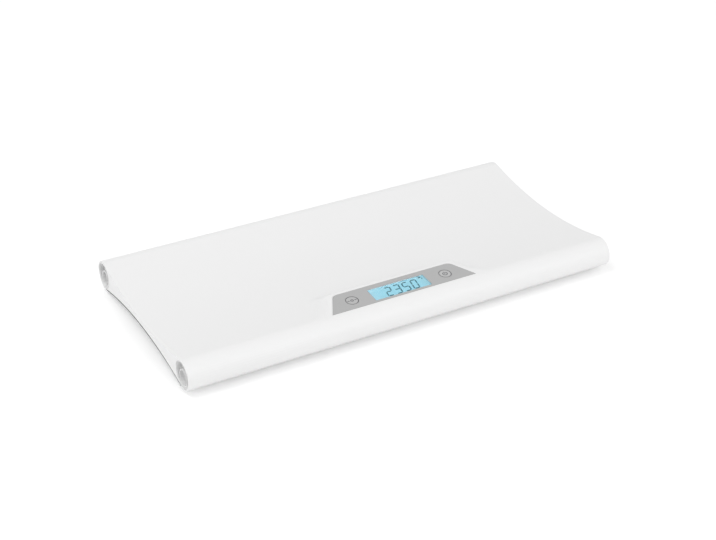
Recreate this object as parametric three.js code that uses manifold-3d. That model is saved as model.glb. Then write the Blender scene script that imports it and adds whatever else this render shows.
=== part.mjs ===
// Digital baby weighing scale: a shallow dished tray between two hollow rolls, standing on four load cells.
// Millimetres, +Z up. X runs along the length and Y towards the rear; the floor is z = 0.

import * as THREE from 'three';
import { mergeVertices } from 'three/addons/utils/BufferGeometryUtils.js';
import Module from 'manifold-3d';

// Overall form
const length = 560;
const depth = 269;
const rollRadius = 18.4;
const dishDip = 14.4;
const archRise = 13.8;
const footGap = 4;

// Skins and clearances
const trayWall = 2;
const baseWall = 2.2;
const fit = 0.3;
const overrun = 6;
const samePoint = 0.03;

// Facets of round forms
const rollFacets = 22;
const dishFacets = 38;
const archFacets = 18;
const mouthFacets = 28;
const ringFacets = 20;
const roundFacets = 18;
const smallFacets = 8;
const panelCornerFacets = 6;
const cornerFacets = 2;
const chamferFacets = 1;

// Grey panel and the raised console that it lies in
const panel = {
  inset: 20.5,
  depth: 33,
  rise: 2.2,
  frontWidth: 191.6,
  rearWidth: 155.6,
  corner: 9,
  thickness: 2,
  ledge: 2.2,
  ledgeThickness: 2.2,
  frameMargin: 2.4,
};
const consoleBlend = { margin: 2.5, reach: 22, steps: 5, sink: 0.02 };

// Display, in the panel's own plane
const display = { width: 75, depth: 22, offset: -1.9 };
const lens = { sink: 0.2, flangeX: 2, flangeY: 1, flangeThickness: 1 };
const cell = { width: 82, depth: 27.6, thickness: 2.2 };
const backlight = { width: 79, depth: 22, thickness: 2.4 };
const cradle = { cheek: 2.4, floor: 1 };
const zebra = { width: 70, depth: 2, inset: 1.2 };

// Buttons and their switches
const button = { x: 62.5, offset: -1, radius: 7.7, flange: 1.3, flangeThickness: 1, stem: 2 };
const buttonTravel = 0.5;
const tact = { width: 6, height: 3.4, plunger: 1.6, proud: 1.3, engaged: 1.3 };

// Circuit board
const board = { width: 148, depth: 33, thickness: 1.6, corner: 2.2 };
const boardPost = { gap: 2.4, y: 11.4, radius: 2.4 };
const boardScrew = { shank: 1, head: 2, headHeight: 1.4, length: 5 };
const controller = { width: 12, depth: 12, height: 1.6, x: 22 };
const converter = { width: 10, depth: 6, height: 1.5, x: -24 };
const capacitor = { radius: 2.5, height: 5, x: 0, y: 9 };
const plug = { width: 9, depth: 5, height: 5, inset: 8, pitch: 28, y: 9, apart: 2.2 };

// Plugs in the mouths of the rolls
const mouthRim = 2.2;
const endPlug = {
  sink: 0.7,
  depth: 7,
  floor: 1.4,
  skirt: 1.3,
  ringRadius: 10.6,
  ringWall: 1.4,
  ringSink: 0.7,
  rib: 1.2,
  ribPitch: 5.2,
};

// Parting groove along the lower edge of both end faces
const seam = { rise: 0.6, width: 1.1, depth: 1 };

// Feet and load cells
const footInset = { x: 52, y: 40.5 };
const foot = { radius: 12, taper: 0.5, clearance: 0.6, boss: 4, lift: 0.6, flange: 13.8, flangeThickness: 1.3 };
const pad = { radius: 10.4, thickness: 1.9, depth: 1.1, lip: 0.5 };
const loadCell = { width: 34, thickness: 2.8, bossGap: 1.2, slot: 2, tongue: 12, reach: 24, corner: 4 };
const holder = { wall: 2, plate: 2.4, overlap: 1.8, ear: 11, earDepth: 13, relief: 1.1, reliefWidth: 26 };
const holderScrew = { shank: 1.3, head: 2.6, headHeight: 1.8, length: 8 };
const holderBoss = { radius: 3.6 };

// Case screws
const caseScrew = { shank: 1.3, head: 2.6, headHeight: 1.8, length: 8, sink: 0.8 };
const screwSlot = { length: 3.2, width: 0.8, depth: 0.9 };
const caseBoss = { radius: 4.2, ledge: 1.8, trayRadius: 3.4 };
const caseScrewShares = [
  [-0.935, -0.45], [0.935, -0.45], [-0.935, 0.45], [0.935, 0.45],
  [-0.446, -0.52], [0.446, -0.52], [-0.446, 0.52], [0.446, 0.52],
];

// Stiffening ribs and the cover's long lips
const rib = { thickness: 1.4, height: 1.6, gap: 12.7, coverGap: 2.7, channel: 46, end: 12 };
const trayRibShares = [-0.75, -0.25, 0.25, 0.75];
const coverRibShares = [-0.6, -0.3, 0.3, 0.6];
const coverLongRibs = { pitch: 30, rows: 1 };
const lip = { thickness: 1.4, height: 4, inset: 2.2 };

// Batteries, their bay and its door
const battery = { radius: 5.25, length: 43.3, nubRadius: 1.9, nubLength: 1.2, pitch: 11.1, count: 3 };
const bay = { share: 0.7235, wall: 1.2, clearance: 0.4, rim: 2.6, rimStart: 0.8, rimTop: 3.8 };
const door = { thickness: 2, overlapX: 3, overlapY: 1.6 };
const hinge = { barrel: 1.1, pin: 0.8, pinLength: 2.4, pinPlay: 0.3 };
const latch = { width: 14, depth: 3, grip: 1.2 };
const ear = { width: 4, height: 3.6 };
const contact = { plate: 0.4, width: 8, height: 8.4, reach: 4.6, wire: 0.35, coil: 3.2, tip: 1.8 };
const coil = { turns: 3, steps: 6, sides: 4 };
const contacts = [
  { name: 'positive', side: 1, rows: [0] },
  { name: 'link_left', side: -1, rows: [0, 1], springRow: 0 },
  { name: 'link_right', side: 1, rows: [1, 2], springRow: 1 },
  { name: 'negative', side: -1, rows: [2], springRow: 2 },
];

// Cables inside the case
const cable = { radius: 0.9, steps: 26, sides: 5 };
const lead = { radius: 0.6, steps: 14, sides: 5 };
const cableLane = 14;

// Cable routes: places along X as shares of the foot's, places along Y as shares of the cable's lane
const cellRoute = { exit: 0.92, bend: 7, drop: 3, far: 0.78, near: 0.5, lift: 2 };
const rearRoute = { bend: 8, margin: 4, crossing: [0.8, 0.4, 0, -0.4], end: -0.62 };
const leadRoute = { apart: 0.3, spread: 0.4, bend: 8, lift: 2, rise: 0.4, end: -0.6 };

// Values that follow from the sizes above
const halfLength = length / 2;
const rollY = depth / 2 - rollRadius;
const rollZ = footGap + rollRadius;
const footX = halfLength - footInset.x;
const footY = depth / 2 - footInset.y;
const dishRadius = tangentRadius(dishDip);
const archRadius = tangentRadius(archRise);
const dishCentreZ = footGap + 2 * rollRadius - dishDip + dishRadius;
const archCentreZ = footGap + archRise - archRadius;
const dishSpan = Math.asin(rollY / (dishRadius + rollRadius));
const archSpan = Math.asin(rollY / (archRadius + rollRadius));
const seamY = archRadius * Math.sin(archSpan);
const panelFront = -depth / 2 + panel.inset;
const panelTilt = Math.asin(panel.rise / panel.depth);
const consoleY = panelFront + (panel.depth / 2) * Math.cos(panelTilt);
const consoleZ = topHeight(panelFront) + panel.rise / 2;
const mouthRadius = rollRadius - mouthRim;
const holderHalf = loadCell.width / 2 + fit + holder.wall;
const ribReach = footY - holderHalf - rib.gap;
const coverRibReach = footY - holderHalf - rib.coverGap;
const coverHalf = halfLength - trayWall - fit;

// Levels of the display stack, below the panel's face
const lensFlangeTop = -panel.thickness - fit;
const cellTop = lensFlangeTop - lens.flangeThickness - fit;
const backlightTop = cellTop - cell.thickness - fit;
const cradleTop = backlightTop - backlight.thickness - fit;
const boardTop = cradleTop - cradle.floor - fit;
const boardBottom = boardTop - board.thickness;

// Levels of the load path, above the floor
const footFlangeZ = archHeight(footY - foot.flange) + baseWall + foot.lift;
const footBossTop = footFlangeZ + foot.flangeThickness + loadCell.bossGap;
const loadCellZ = footBossTop + fit;
const holderZ = loadCellZ + loadCell.thickness + fit;
const earTop = holderZ + holder.plate;
const earX = holderHalf + holder.ear / 2;

// Places across the board
const postX = cell.width / 2 + fit + cradle.cheek + boardPost.gap + boardPost.radius;
const plugX = board.width / 2 - plug.inset;
const batteryPlugX = plugX - plug.pitch;

// Levels of the battery bay, above the cover's underside in the bay's own frame
const bayCentreY = rollY * bay.share;
const bayTilt = -Math.asin(bayCentreY / archRadius);
const plateRoom = contact.plate + 2 * fit;
const bayX = battery.length + battery.nubLength + contact.reach + 2 * plateRoom;
const bayY = battery.pitch * (battery.count - 1) + 2 * (battery.radius + bay.clearance);
const bayFloor = door.thickness + fit;
const batteryZ = bayFloor + bay.clearance + battery.radius;
const bayCeiling = batteryZ + battery.radius + bay.clearance;
const doorHalfX = bayX / 2 + door.overlapX;
const doorHalfY = bayY / 2 + door.overlapY;
const hingeY = -doorHalfY - hinge.barrel;
const hingeZ = hinge.barrel;
const doorSwing = hingeZ + archRadius - Math.sqrt(archRadius ** 2 - hingeY ** 2);

const wasm = await Module();
wasm.setup();

// Radius of the arc of the given sagitta that runs tangent into both rolls
function tangentRadius(sagitta) {
  return (rollY ** 2 + (rollRadius - sagitta) ** 2 - rollRadius ** 2) / (2 * sagitta);
}

// Height of the dish between the rolls
function dishHeight(y) {
  return dishCentreZ - Math.sqrt(dishRadius ** 2 - y ** 2);
}

// Height of the outer skin, dish and rolls together
function topHeight(y) {
  if (Math.abs(y) < dishRadius * Math.sin(dishSpan)) {
    return dishHeight(y);
  }
  return rollZ + Math.sqrt(rollRadius ** 2 - (Math.abs(y) - rollY) ** 2);
}

// Height of the arched underside
function archHeight(y) {
  return archCentreZ + Math.sqrt(archRadius ** 2 - y ** 2);
}

// Smooth step from 0 to 1
function smooth(share) {
  const t = Math.min(Math.max(share, 0), 1);
  return t * t * (3 - 2 * t);
}

// Points along an arc in the plane of the section
function arc(centreY, centreZ, radius, from, to, count) {
  return Array.from({ length: count + 1 }, (_, i) => {
    const angle = from + ((to - from) * i) / count;
    return new THREE.Vector2(centreY + radius * Math.cos(angle), centreZ + radius * Math.sin(angle));
  });
}

// Drops points that repeat the one before them
function distinct(points) {
  return points.filter((point, i) => point.distanceTo(points.at(i - 1)) > samePoint);
}

// Arc of the dish, from the rear roll to the front roll
function dishArc(inset) {
  const down = -Math.PI / 2;
  return arc(0, dishCentreZ, dishRadius + inset, down + dishSpan, down - dishSpan, dishFacets);
}

// Arc of the underside, from the front to the rear
function archArc(inset, span) {
  return arc(0, archCentreZ, archRadius + inset, Math.PI / 2 + span, Math.PI / 2 - span, archFacets);
}

// Closed section of the whole body, drawn in by an inset
function bodySection(inset) {
  const radius = rollRadius - inset;
  const down = -Math.PI / 2;
  const front = arc(-rollY, rollZ, radius, -down - dishSpan, -3 * down + archSpan, rollFacets);
  const rear = arc(rollY, rollZ, radius, down - archSpan, -down + dishSpan, rollFacets);
  return distinct([...front, ...archArc(inset, archSpan), ...rear, ...dishArc(inset)]);
}

// Closed band of the underside between two insets
function archBand(from, to, span) {
  return [...archArc(from, span), ...archArc(to, span).reverse()];
}

// Closed band under the dish between two insets, as far as a reach to each side
function dishBand(from, to, reach) {
  const span = Math.asin(reach / dishRadius);
  const down = -Math.PI / 2;
  const low = arc(0, dishCentreZ, dishRadius + to, down - span, down + span, archFacets);
  const high = arc(0, dishCentreZ, dishRadius + from, down + span, down - span, archFacets);
  return [...low, ...high];
}

// Prism of an outline, upwards from z = 0
function prism(points, height, holes = []) {
  const shape = new THREE.Shape(points);
  shape.holes = holes.map((hole) => new THREE.Path(hole));
  return new THREE.ExtrudeGeometry(shape, { depth: height, bevelEnabled: false });
}

// Prism of a section in Y and Z, swept along X
function sweepX(points, from, to) {
  const cyclic = new THREE.Matrix4().makeBasis(
    new THREE.Vector3(0, 1, 0),
    new THREE.Vector3(0, 0, 1),
    new THREE.Vector3(1, 0, 0),
  );
  return prism(points, to - from).applyMatrix4(cyclic).translate(from, 0, 0);
}

// Upright cylinder that stands on z
function drum(radius, height, x, y, z, facets = smallFacets) {
  return new THREE.CylinderGeometry(radius, radius, height, facets)
    .rotateX(Math.PI / 2)
    .translate(x, y, z + height / 2);
}

// Box between two corners
function block(low, high) {
  const size = high.map((value, i) => value - low[i]);
  const centre = high.map((value, i) => (value + low[i]) / 2);
  return new THREE.BoxGeometry(...size).translate(...centre);
}

// Solid of revolution about Z from points of radius and height, bottom first
function revolve(profile, facets = roundFacets) {
  const points = profile.map(([radius, height]) => new THREE.Vector2(radius, height));
  return new THREE.LatheGeometry(points, facets).rotateX(Math.PI / 2);
}

// Points of a circle in a plane
function ring(radius, x, y, facets) {
  return Array.from({ length: facets }, (_, i) => {
    const angle = (2 * Math.PI * i) / facets;
    return new THREE.Vector2(x + radius * Math.cos(angle), y + radius * Math.sin(angle));
  });
}

// Closed polygon whose corners carry their own radius
function roundedOutline(corners, facets) {
  return corners.flatMap(([x, y, radius], i) => {
    const corner = new THREE.Vector2(x, y);
    if (radius === 0) {
      return [corner];
    }
    const [px, py] = corners[(i + corners.length - 1) % corners.length];
    const [nx, ny] = corners[(i + 1) % corners.length];
    const back = new THREE.Vector2(px, py).sub(corner).normalize();
    const ahead = new THREE.Vector2(nx, ny).sub(corner).normalize();
    const half = back.angleTo(ahead) / 2;
    const centre = back.clone().add(ahead).normalize().multiplyScalar(radius / Math.sin(half)).add(corner);
    const start = back.multiplyScalar(radius / Math.tan(half)).add(corner).sub(centre);
    const turn = Math.PI - 2 * half;
    return Array.from({ length: facets + 1 }, (_, k) =>
      start.clone().rotateAround(new THREE.Vector2(0, 0), (turn * k) / facets).add(centre));
  });
}

// Rectangle about a centre, with round corners
function roundedBox(width, deep, radius, x = 0, y = 0, facets = cornerFacets) {
  return roundedOutline([
    [x - width / 2, y - deep / 2, radius],
    [x + width / 2, y - deep / 2, radius],
    [x + width / 2, y + deep / 2, radius],
    [x - width / 2, y + deep / 2, radius],
  ], facets);
}

// Solid for joining and cutting
function solid(geometry) {
  const bare = geometry.clone();
  bare.deleteAttribute('normal');
  bare.deleteAttribute('uv');
  const merged = mergeVertices(bare);
  return new wasm.Manifold(new wasm.Mesh({
    numProp: 3,
    vertProperties: new Float32Array(merged.attributes.position.array),
    triVerts: new Uint32Array(merged.index.array),
  }));
}

// Joins several geometries into one solid
function join(...geometries) {
  return geometries.map(solid).reduce((whole, next) => whole.add(next));
}

// Geometry of a joined or cut solid
function geometryOf(manifold) {
  const mesh = manifold.getMesh();
  const geometry = new THREE.BufferGeometry();
  geometry.setAttribute('position', new THREE.BufferAttribute(new Float32Array(mesh.vertProperties), 3));
  geometry.setIndex(new THREE.BufferAttribute(new Uint32Array(mesh.triVerts), 1));
  return geometry;
}

// Tube of round section along a smooth route
function tube(points, { radius, steps, sides }) {
  const stops = points.map((point) => new THREE.Vector3(...point));
  const path = new THREE.CatmullRomCurve3(stops, false, 'centripetal');
  const shape = new THREE.Shape(ring(radius, 0, 0, sides));
  return new THREE.ExtrudeGeometry(shape, { steps, extrudePath: path, bevelEnabled: false });
}

// Frame of the console: its origin lies at the middle of the panel's face
const consoleFrame = new THREE.Matrix4().makeRotationX(panelTilt).setPosition(0, consoleY, consoleZ);

// Frame of the battery bay: its origin lies on the cover's underside
const bayFrame = new THREE.Matrix4()
  .makeRotationX(bayTilt)
  .setPosition(0, bayCentreY, archHeight(bayCentreY));

// Outline of the grey panel, grown by a margin
function panelOutline(grow) {
  const front = -panel.depth / 2 - grow;
  const rear = panel.depth / 2 + grow;
  const frontHalf = panel.frontWidth / 2 + grow;
  const rearHalf = panel.rearWidth / 2 + grow;
  const radius = Math.max(panel.corner + grow, fit);
  return roundedOutline([
    [-frontHalf, front, 0],
    [frontHalf, front, 0],
    [rearHalf, rear, radius],
    [-rearHalf, rear, radius],
  ], panelCornerFacets);
}

// Half width of the console at a depth
function consoleHalf(y) {
  const share = Math.min(Math.max((y - panelFront) / panel.depth, 0), 1);
  return THREE.MathUtils.lerp(panel.frontWidth, panel.rearWidth, share) / 2 + consoleBlend.margin;
}

// How far the console stands above the dish at a point
function consoleRaise(x, y) {
  const rear = panelFront + panel.depth + consoleBlend.margin;
  const platform = topHeight(panelFront) + (Math.min(y, rear) - panelFront) * Math.tan(panelTilt);
  const raise = Math.max(platform - topHeight(Math.min(y, rear)), 0);
  const beside = smooth((Math.abs(x) - consoleHalf(y)) / consoleBlend.reach);
  const behind = smooth((y - rear) / consoleBlend.reach);
  return raise * (1 - beside) * (1 - behind);
}

// Rows of the console's surface: the facets of the dish that it rises from
function consoleRows() {
  const rear = panelFront + panel.depth + consoleBlend.margin + consoleBlend.reach;
  const rows = dishArc(0).map((point) => point.x).filter((y) => y > panelFront && y < rear);
  return [panelFront, ...rows.reverse(), rear];
}

// Raised console as a closed sheet between the dish and its own surface, lowered by an inset
function consoleSolid(inset) {
  const rows = consoleRows();
  const count = consoleBlend.steps;
  const steps = Array.from({ length: count + 1 }, (_, i) => (consoleBlend.reach * i) / count);
  const columns = (y) => {
    const right = steps.map((step) => consoleHalf(y) + step);
    return [...right.map((x) => -x).reverse(), ...right];
  };
  const across = columns(0).length;
  const top = rows.flatMap((y) => columns(y).map((x) =>
    [x, y, topHeight(y) + consoleRaise(x, y) - inset - consoleBlend.sink]));
  const bottom = rows.flatMap((y) => columns(y).map((x) => [x, y, topHeight(y) - inset - trayWall / 2]));
  const at = (i, j) => i * across + j;
  const under = top.length;
  const faces = [];
  const quad = (a, b, c, d) => faces.push(a, b, c, a, c, d);
  for (let i = 0; i < rows.length - 1; i += 1) {
    for (let j = 0; j < across - 1; j += 1) {
      quad(at(i, j), at(i, j + 1), at(i + 1, j + 1), at(i + 1, j));
      quad(under + at(i, j), under + at(i + 1, j), under + at(i + 1, j + 1), under + at(i, j + 1));
    }
    const last = across - 1;
    quad(at(i, 0), at(i + 1, 0), under + at(i + 1, 0), under + at(i, 0));
    quad(at(i + 1, last), at(i, last), under + at(i, last), under + at(i + 1, last));
  }
  const end = rows.length - 1;
  for (let j = 0; j < across - 1; j += 1) {
    quad(at(0, j + 1), at(0, j), under + at(0, j), under + at(0, j + 1));
    quad(at(end, j), at(end, j + 1), under + at(end, j + 1), under + at(end, j));
  }
  const geometry = new THREE.BufferGeometry();
  const places = new Float32Array([...top, ...bottom].flat());
  geometry.setAttribute('position', new THREE.BufferAttribute(places, 3));
  geometry.setIndex(faces);
  return solid(geometry);
}

// Places of the four corners, with the sign of each along X and Y
const corners = [
  { name: 'front_left', sx: -1, sy: -1 },
  { name: 'front_right', sx: 1, sy: -1 },
  { name: 'rear_left', sx: -1, sy: 1 },
  { name: 'rear_right', sx: 1, sy: 1 },
];

// Places of the case screws with the levels that each one meets
const caseScrews = caseScrewShares.map(([shareX, shareY]) => {
  const x = shareX * halfLength;
  const y = (shareY * depth) / 2;
  const head = archHeight(y) + caseScrew.sink;
  const seat = head + caseScrew.headHeight + fit;
  return { x, y, head, seat, coverTop: seat + caseBoss.ledge, trayBottom: seat + caseBoss.ledge + fit };
});

// Upper shell: the dish, both rolls, the end walls and the raised console
function makeTray() {
  const outer = solid(sweepX(bodySection(0), -halfLength, halfLength)).add(consoleSolid(0));
  const inner = halfLength - trayWall;
  const cavity = solid(sweepX(bodySection(trayWall), -inner, inner)).add(consoleSolid(trayWall));
  const opening = solid(sweepX(archBand(-overrun, baseWall + fit, archSpan), -inner, inner));
  let tray = outer.subtract(cavity).subtract(opening).add(trayInside()).add(consoleRim(outer));
  for (const { sx, sy } of corners) {
    const mouth = new THREE.CylinderGeometry(mouthRadius, mouthRadius, trayWall + 2 * overrun, mouthFacets)
      .rotateZ(Math.PI / 2)
      .translate(sx * halfLength, sy * rollY, rollZ);
    tray = tray.subtract(solid(mouth));
  }
  return geometryOf(tray.subtract(panelRecess()).subtract(trayPilots()).subtract(endSeams()));
}

// Parting grooves in both end faces, along the arch
function endSeams() {
  const band = archBand(seam.rise, seam.rise + seam.width, archSpan);
  return join(
    sweepX(band, -halfLength - overrun, -halfLength + seam.depth),
    sweepX(band, halfLength - seam.depth, halfLength + overrun),
  );
}

// Bosses and ribs that hang under the dish
function trayInside() {
  const bosses = caseScrews.map(({ x, y, trayBottom }) =>
    drum(caseBoss.trayRadius, dishHeight(y) - trayWall / 2 - trayBottom, x, y, trayBottom));
  const posts = corners.flatMap(({ sx, sy }) => [-earX, earX].map((offset) => {
    const y = sy * footY;
    const bottom = earTop + fit;
    return drum(holderBoss.radius, topHeight(y) - trayWall / 2 - bottom, sx * footX + offset, y, bottom);
  }));
  const ribs = trayRibShares.map((share) => {
    const x = share * halfLength;
    const band = dishBand(trayWall / 2, trayWall + rib.height, ribReach);
    return sweepX(band, x - rib.thickness / 2, x + rib.thickness / 2);
  });
  return join(...bosses, ...posts, ...ribs);
}

// Thicker rim under the console's face that the panel's ledge is cut from
function consoleRim(outer) {
  const height = panel.thickness + fit + panel.ledgeThickness;
  const rim = prism(panelOutline(panel.frameMargin), height + overrun)
    .translate(0, 0, -height)
    .applyMatrix4(consoleFrame);
  return solid(rim).intersect(outer);
}

// Seat of the panel and the opening inside its ledge
function panelRecess() {
  const sunk = panel.thickness + fit;
  const seat = prism(panelOutline(fit), sunk + overrun).translate(0, 0, -sunk);
  const hole = prism(panelOutline(-panel.ledge), 2 * overrun).translate(0, 0, -2 * overrun);
  return join(seat.applyMatrix4(consoleFrame), hole.applyMatrix4(consoleFrame));
}

// Screw holes in the tray's bosses
function trayPilots() {
  const caseHoles = caseScrews.map(({ x, y, head, trayBottom }) => {
    const top = head + caseScrew.headHeight + caseScrew.length + fit;
    return drum(caseScrew.shank + fit, top - trayBottom + overrun, x, y, trayBottom - overrun);
  });
  const reach = holderScrew.length - holder.plate + fit + overrun;
  const holderHoles = corners.flatMap(({ sx, sy }) => [-earX, earX].map((offset) =>
    drum(holderScrew.shank + fit, reach, sx * footX + offset, sy * footY, earTop - overrun)));
  return join(...caseHoles, ...holderHoles);
}

// Lower shell: the arched cover with its bosses, ribs, lips, foot holes and battery bay
function makeCover() {
  const span = archSpan - fit / archRadius;
  const skin = solid(sweepX(archBand(0, baseWall, span), -coverHalf, coverHalf));
  let cover = skin.add(coverInside());
  cover = cover.subtract(join(
    ...caseScrews.flatMap(({ x, y, head, seat }) => [
      drum(caseScrew.head + fit, seat - head + overrun, x, y, head - overrun, roundFacets),
      drum(caseScrew.shank + fit, caseBoss.ledge + 2 * overrun, x, y, seat - overrun),
    ]),
    ...corners.map(({ sx, sy }) =>
      drum(foot.radius + foot.clearance, footFlangeZ + overrun, sx * footX, sy * footY, 0, roundFacets)),
  ));
  const rimFront = hingeY - hinge.barrel - bay.rim;
  const rim = join(
    bayBlock(doorHalfX + bay.rim, rimFront, doorHalfY + bay.rim, bay.rimStart, bay.rimTop),
    bayBlock(bayX / 2 + bay.wall, -bayY / 2 - bay.wall, bayY / 2 + bay.wall, bayFloor, bayCeiling + bay.wall),
    bayBlock(doorHalfX + ear.width, rimFront, hingeY + 2 * hinge.barrel, bay.rimStart, ear.height),
  );
  return geometryOf(cover.add(rim).subtract(bayCuts()));
}

// Bosses, ribs and lips that stand on the cover
function coverInside() {
  const bosses = caseScrews.map(({ x, y, coverTop }) => {
    const bottom = archHeight(y) + baseWall / 2;
    return drum(caseBoss.radius, coverTop - bottom, x, y, bottom, roundFacets);
  });
  const crossRibs = coverRibShares.map((share) => {
    const x = share * halfLength;
    const band = archBand(baseWall / 2, baseWall + rib.height, Math.asin(coverRibReach / archRadius));
    return sweepX(band, x - rib.thickness / 2, x + rib.thickness / 2);
  });
  const longRibs = [];
  for (let row = -coverLongRibs.rows; row <= coverLongRibs.rows; row += 1) {
    const y = row * coverLongRibs.pitch;
    const low = archHeight(y) + baseWall / 2;
    for (const side of [-1, 1]) {
      const ends = [side * rib.channel, side * (coverHalf - rib.end)].sort((a, b) => a - b);
      longRibs.push(block(
        [ends[0], y - rib.thickness / 2, low],
        [ends[1], y + rib.thickness / 2, archHeight(y) + baseWall + rib.height],
      ));
    }
  }
  const lips = [-1, 1].map((side) => {
    const y = side * (seamY - lip.inset);
    return block(
      [-coverHalf + rib.end, y - lip.thickness / 2, archHeight(y) + baseWall / 2],
      [coverHalf - rib.end, y + lip.thickness / 2, archHeight(y) + baseWall + lip.height],
    );
  });
  return join(...bosses, ...crossRibs, ...longRibs, ...lips);
}

// Box in the bay's frame, symmetric about X
function bayBlock(halfX, front, rear, low, high) {
  return block([-halfX, front, low], [halfX, rear, high]).applyMatrix4(bayFrame);
}

// Doorway, hinge groove, pin holes, latch notch and battery room, cut from the cover
function bayCuts() {
  const groove = hingeRod(hinge.barrel + fit, doorHalfX + fit);
  const pins = hingeRod(hinge.pin + hinge.pinPlay, doorHalfX + hinge.pinLength + fit);
  return join(
    bayBlock(doorHalfX + fit, hingeY, doorHalfY + fit, -overrun, bayFloor),
    bayBlock(doorHalfX + fit, hingeY - doorSwing - fit, hingeY + hinge.barrel, -overrun, hingeZ),
    bayBlock(latch.width / 2 + fit, doorHalfY, doorHalfY + latch.depth + fit, -overrun, bayFloor),
    bayBlock(bayX / 2, -bayY / 2, bayY / 2, -overrun, bayCeiling),
    groove,
    pins,
  );
}

// Rod along the hinge's axis, symmetric about its middle
function hingeRod(radius, halfReach) {
  return new THREE.CylinderGeometry(radius, radius, 2 * halfReach, smallFacets)
    .rotateZ(Math.PI / 2)
    .translate(0, hingeY, hingeZ)
    .applyMatrix4(bayFrame);
}

// Part of the door's arched sheet between two insets, inside a box of the bay's frame
function doorPiece(from, halfX, front, rear) {
  const band = solid(sweepX(archBand(from, door.thickness, archSpan), -halfX, halfX));
  return band.intersect(solid(bayBlock(halfX, front, rear, -overrun, overrun)));
}

// Battery door: part of the arch, with a hinge barrel, two pins and a latch tongue
function makeDoor() {
  const leaf = doorPiece(0, doorHalfX, hingeY, doorHalfY);
  const tongue = doorPiece(latch.grip, latch.width / 2, doorHalfY - latch.depth, doorHalfY + latch.depth);
  const barrel = hingeRod(hinge.barrel, doorHalfX);
  const pins = hingeRod(hinge.pin, doorHalfX + hinge.pinLength);
  return geometryOf(leaf.add(tongue).add(join(barrel, pins)));
}

// Plug in the mouth of a roll: a cup with a smaller ring low inside it and three ribs inside the ring
function makeEndPlug() {
  const radius = mouthRadius - fit;
  const back = revolveX(endPlug.depth, radius, mouthFacets);
  const hollow = revolveX(endPlug.depth, radius - endPlug.skirt, mouthFacets).translate(endPlug.floor, 0, 0);
  const ringZ = endPlug.skirt / 2 + endPlug.ringRadius - radius;
  const height = endPlug.depth - endPlug.floor / 2 - endPlug.ringSink;
  const ringOuter = revolveX(height, endPlug.ringRadius, ringFacets).translate(endPlug.floor / 2, 0, ringZ);
  const ringInner = revolveX(height, endPlug.ringRadius - endPlug.ringWall, ringFacets)
    .translate(endPlug.floor, 0, ringZ);
  const ribs = [-endPlug.ribPitch, 0, endPlug.ribPitch].map((y) => {
    const reach = Math.sqrt((endPlug.ringRadius - endPlug.ringWall / 2) ** 2 - y ** 2);
    return block(
      [endPlug.floor / 2, y - endPlug.rib / 2, ringZ - reach],
      [endPlug.floor / 2 + height / 2, y + endPlug.rib / 2, ringZ + reach],
    );
  });
  const cup = solid(back).subtract(solid(hollow));
  const ringTube = solid(ringOuter).subtract(solid(ringInner));
  return geometryOf(cup.add(ringTube).add(join(...ribs)));
}

// Cylinder along X that starts at x = 0
function revolveX(height, radius, facets) {
  return new THREE.CylinderGeometry(radius, radius, height, facets)
    .rotateZ(Math.PI / 2)
    .translate(height / 2, 0, 0);
}

// Grey panel with its window, button holes and the posts that carry the board
function makePanel() {
  const holes = [
    roundedBox(display.width, display.depth, fit, 0, display.offset, chamferFacets).reverse(),
    ring(button.radius + fit, -button.x, button.offset, roundFacets).reverse(),
    ring(button.radius + fit, button.x, button.offset, roundFacets).reverse(),
  ];
  const plate = prism(panelOutline(0), panel.thickness, holes).translate(0, 0, -panel.thickness);
  const reach = -panel.thickness - boardTop - fit;
  const posts = [];
  const pilots = [];
  for (const sx of [-1, 1]) {
    for (const sy of [-1, 1]) {
      const bottom = boardTop + fit;
      posts.push(drum(boardPost.radius, reach + panel.thickness / 2, sx * postX, sy * boardPost.y, bottom));
      pilots.push(drum(boardScrew.shank + fit, boardScrew.length, sx * postX, sy * boardPost.y,
        bottom - board.thickness));
    }
  }
  return geometryOf(join(plate, ...posts).subtract(join(...pilots)));
}

// Clear window: a flange under the panel and a step that fills the opening
function makeWindow() {
  const layer = (growX, growY, from, to) => {
    const width = display.width + 2 * growX;
    const deep = display.depth + 2 * growY;
    const outline = roundedBox(width, deep, fit, 0, display.offset, chamferFacets);
    return prism(outline, to - from).translate(0, 0, from);
  };
  const step = layer(-fit, -fit, lensFlangeTop - lens.flangeThickness / 2, -lens.sink);
  const flange = layer(lens.flangeX, lens.flangeY, lensFlangeTop - lens.flangeThickness, lensFlangeTop);
  return geometryOf(join(step, flange));
}

// Plain layer of the display stack
function makeLayer({ width, depth: deep, thickness }, top, offset = 0) {
  return new THREE.BoxGeometry(width, deep, thickness).translate(0, offset, top - thickness / 2);
}

// Cradle of the display: a floor with a cheek at each end and a slot for the connector strip
function makeCradle() {
  const half = cell.width / 2 + fit + cradle.cheek;
  const low = cradleTop - cradle.floor;
  const whole = block([-half, -cell.depth / 2, low], [half, cell.depth / 2, cellTop]);
  const room = block([-cell.width / 2 - fit, -cell.depth / 2 - overrun, cradleTop],
    [cell.width / 2 + fit, cell.depth / 2 + overrun, cellTop + overrun]);
  const slotHalf = zebra.width / 2 + fit;
  const slot = block([-slotHalf, cell.depth / 2 - zebra.inset - zebra.depth - fit, low - overrun],
    [slotHalf, cell.depth / 2 - zebra.inset + fit, cellTop]);
  return geometryOf(solid(whole).subtract(join(room, slot)));
}

// Strip that joins the display cell to the board
function makeZebra() {
  const rear = cell.depth / 2 - zebra.inset;
  return block([-zebra.width / 2, rear - zebra.depth, boardTop + fit],
    [zebra.width / 2, rear, cellTop - cell.thickness - fit]);
}

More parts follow.
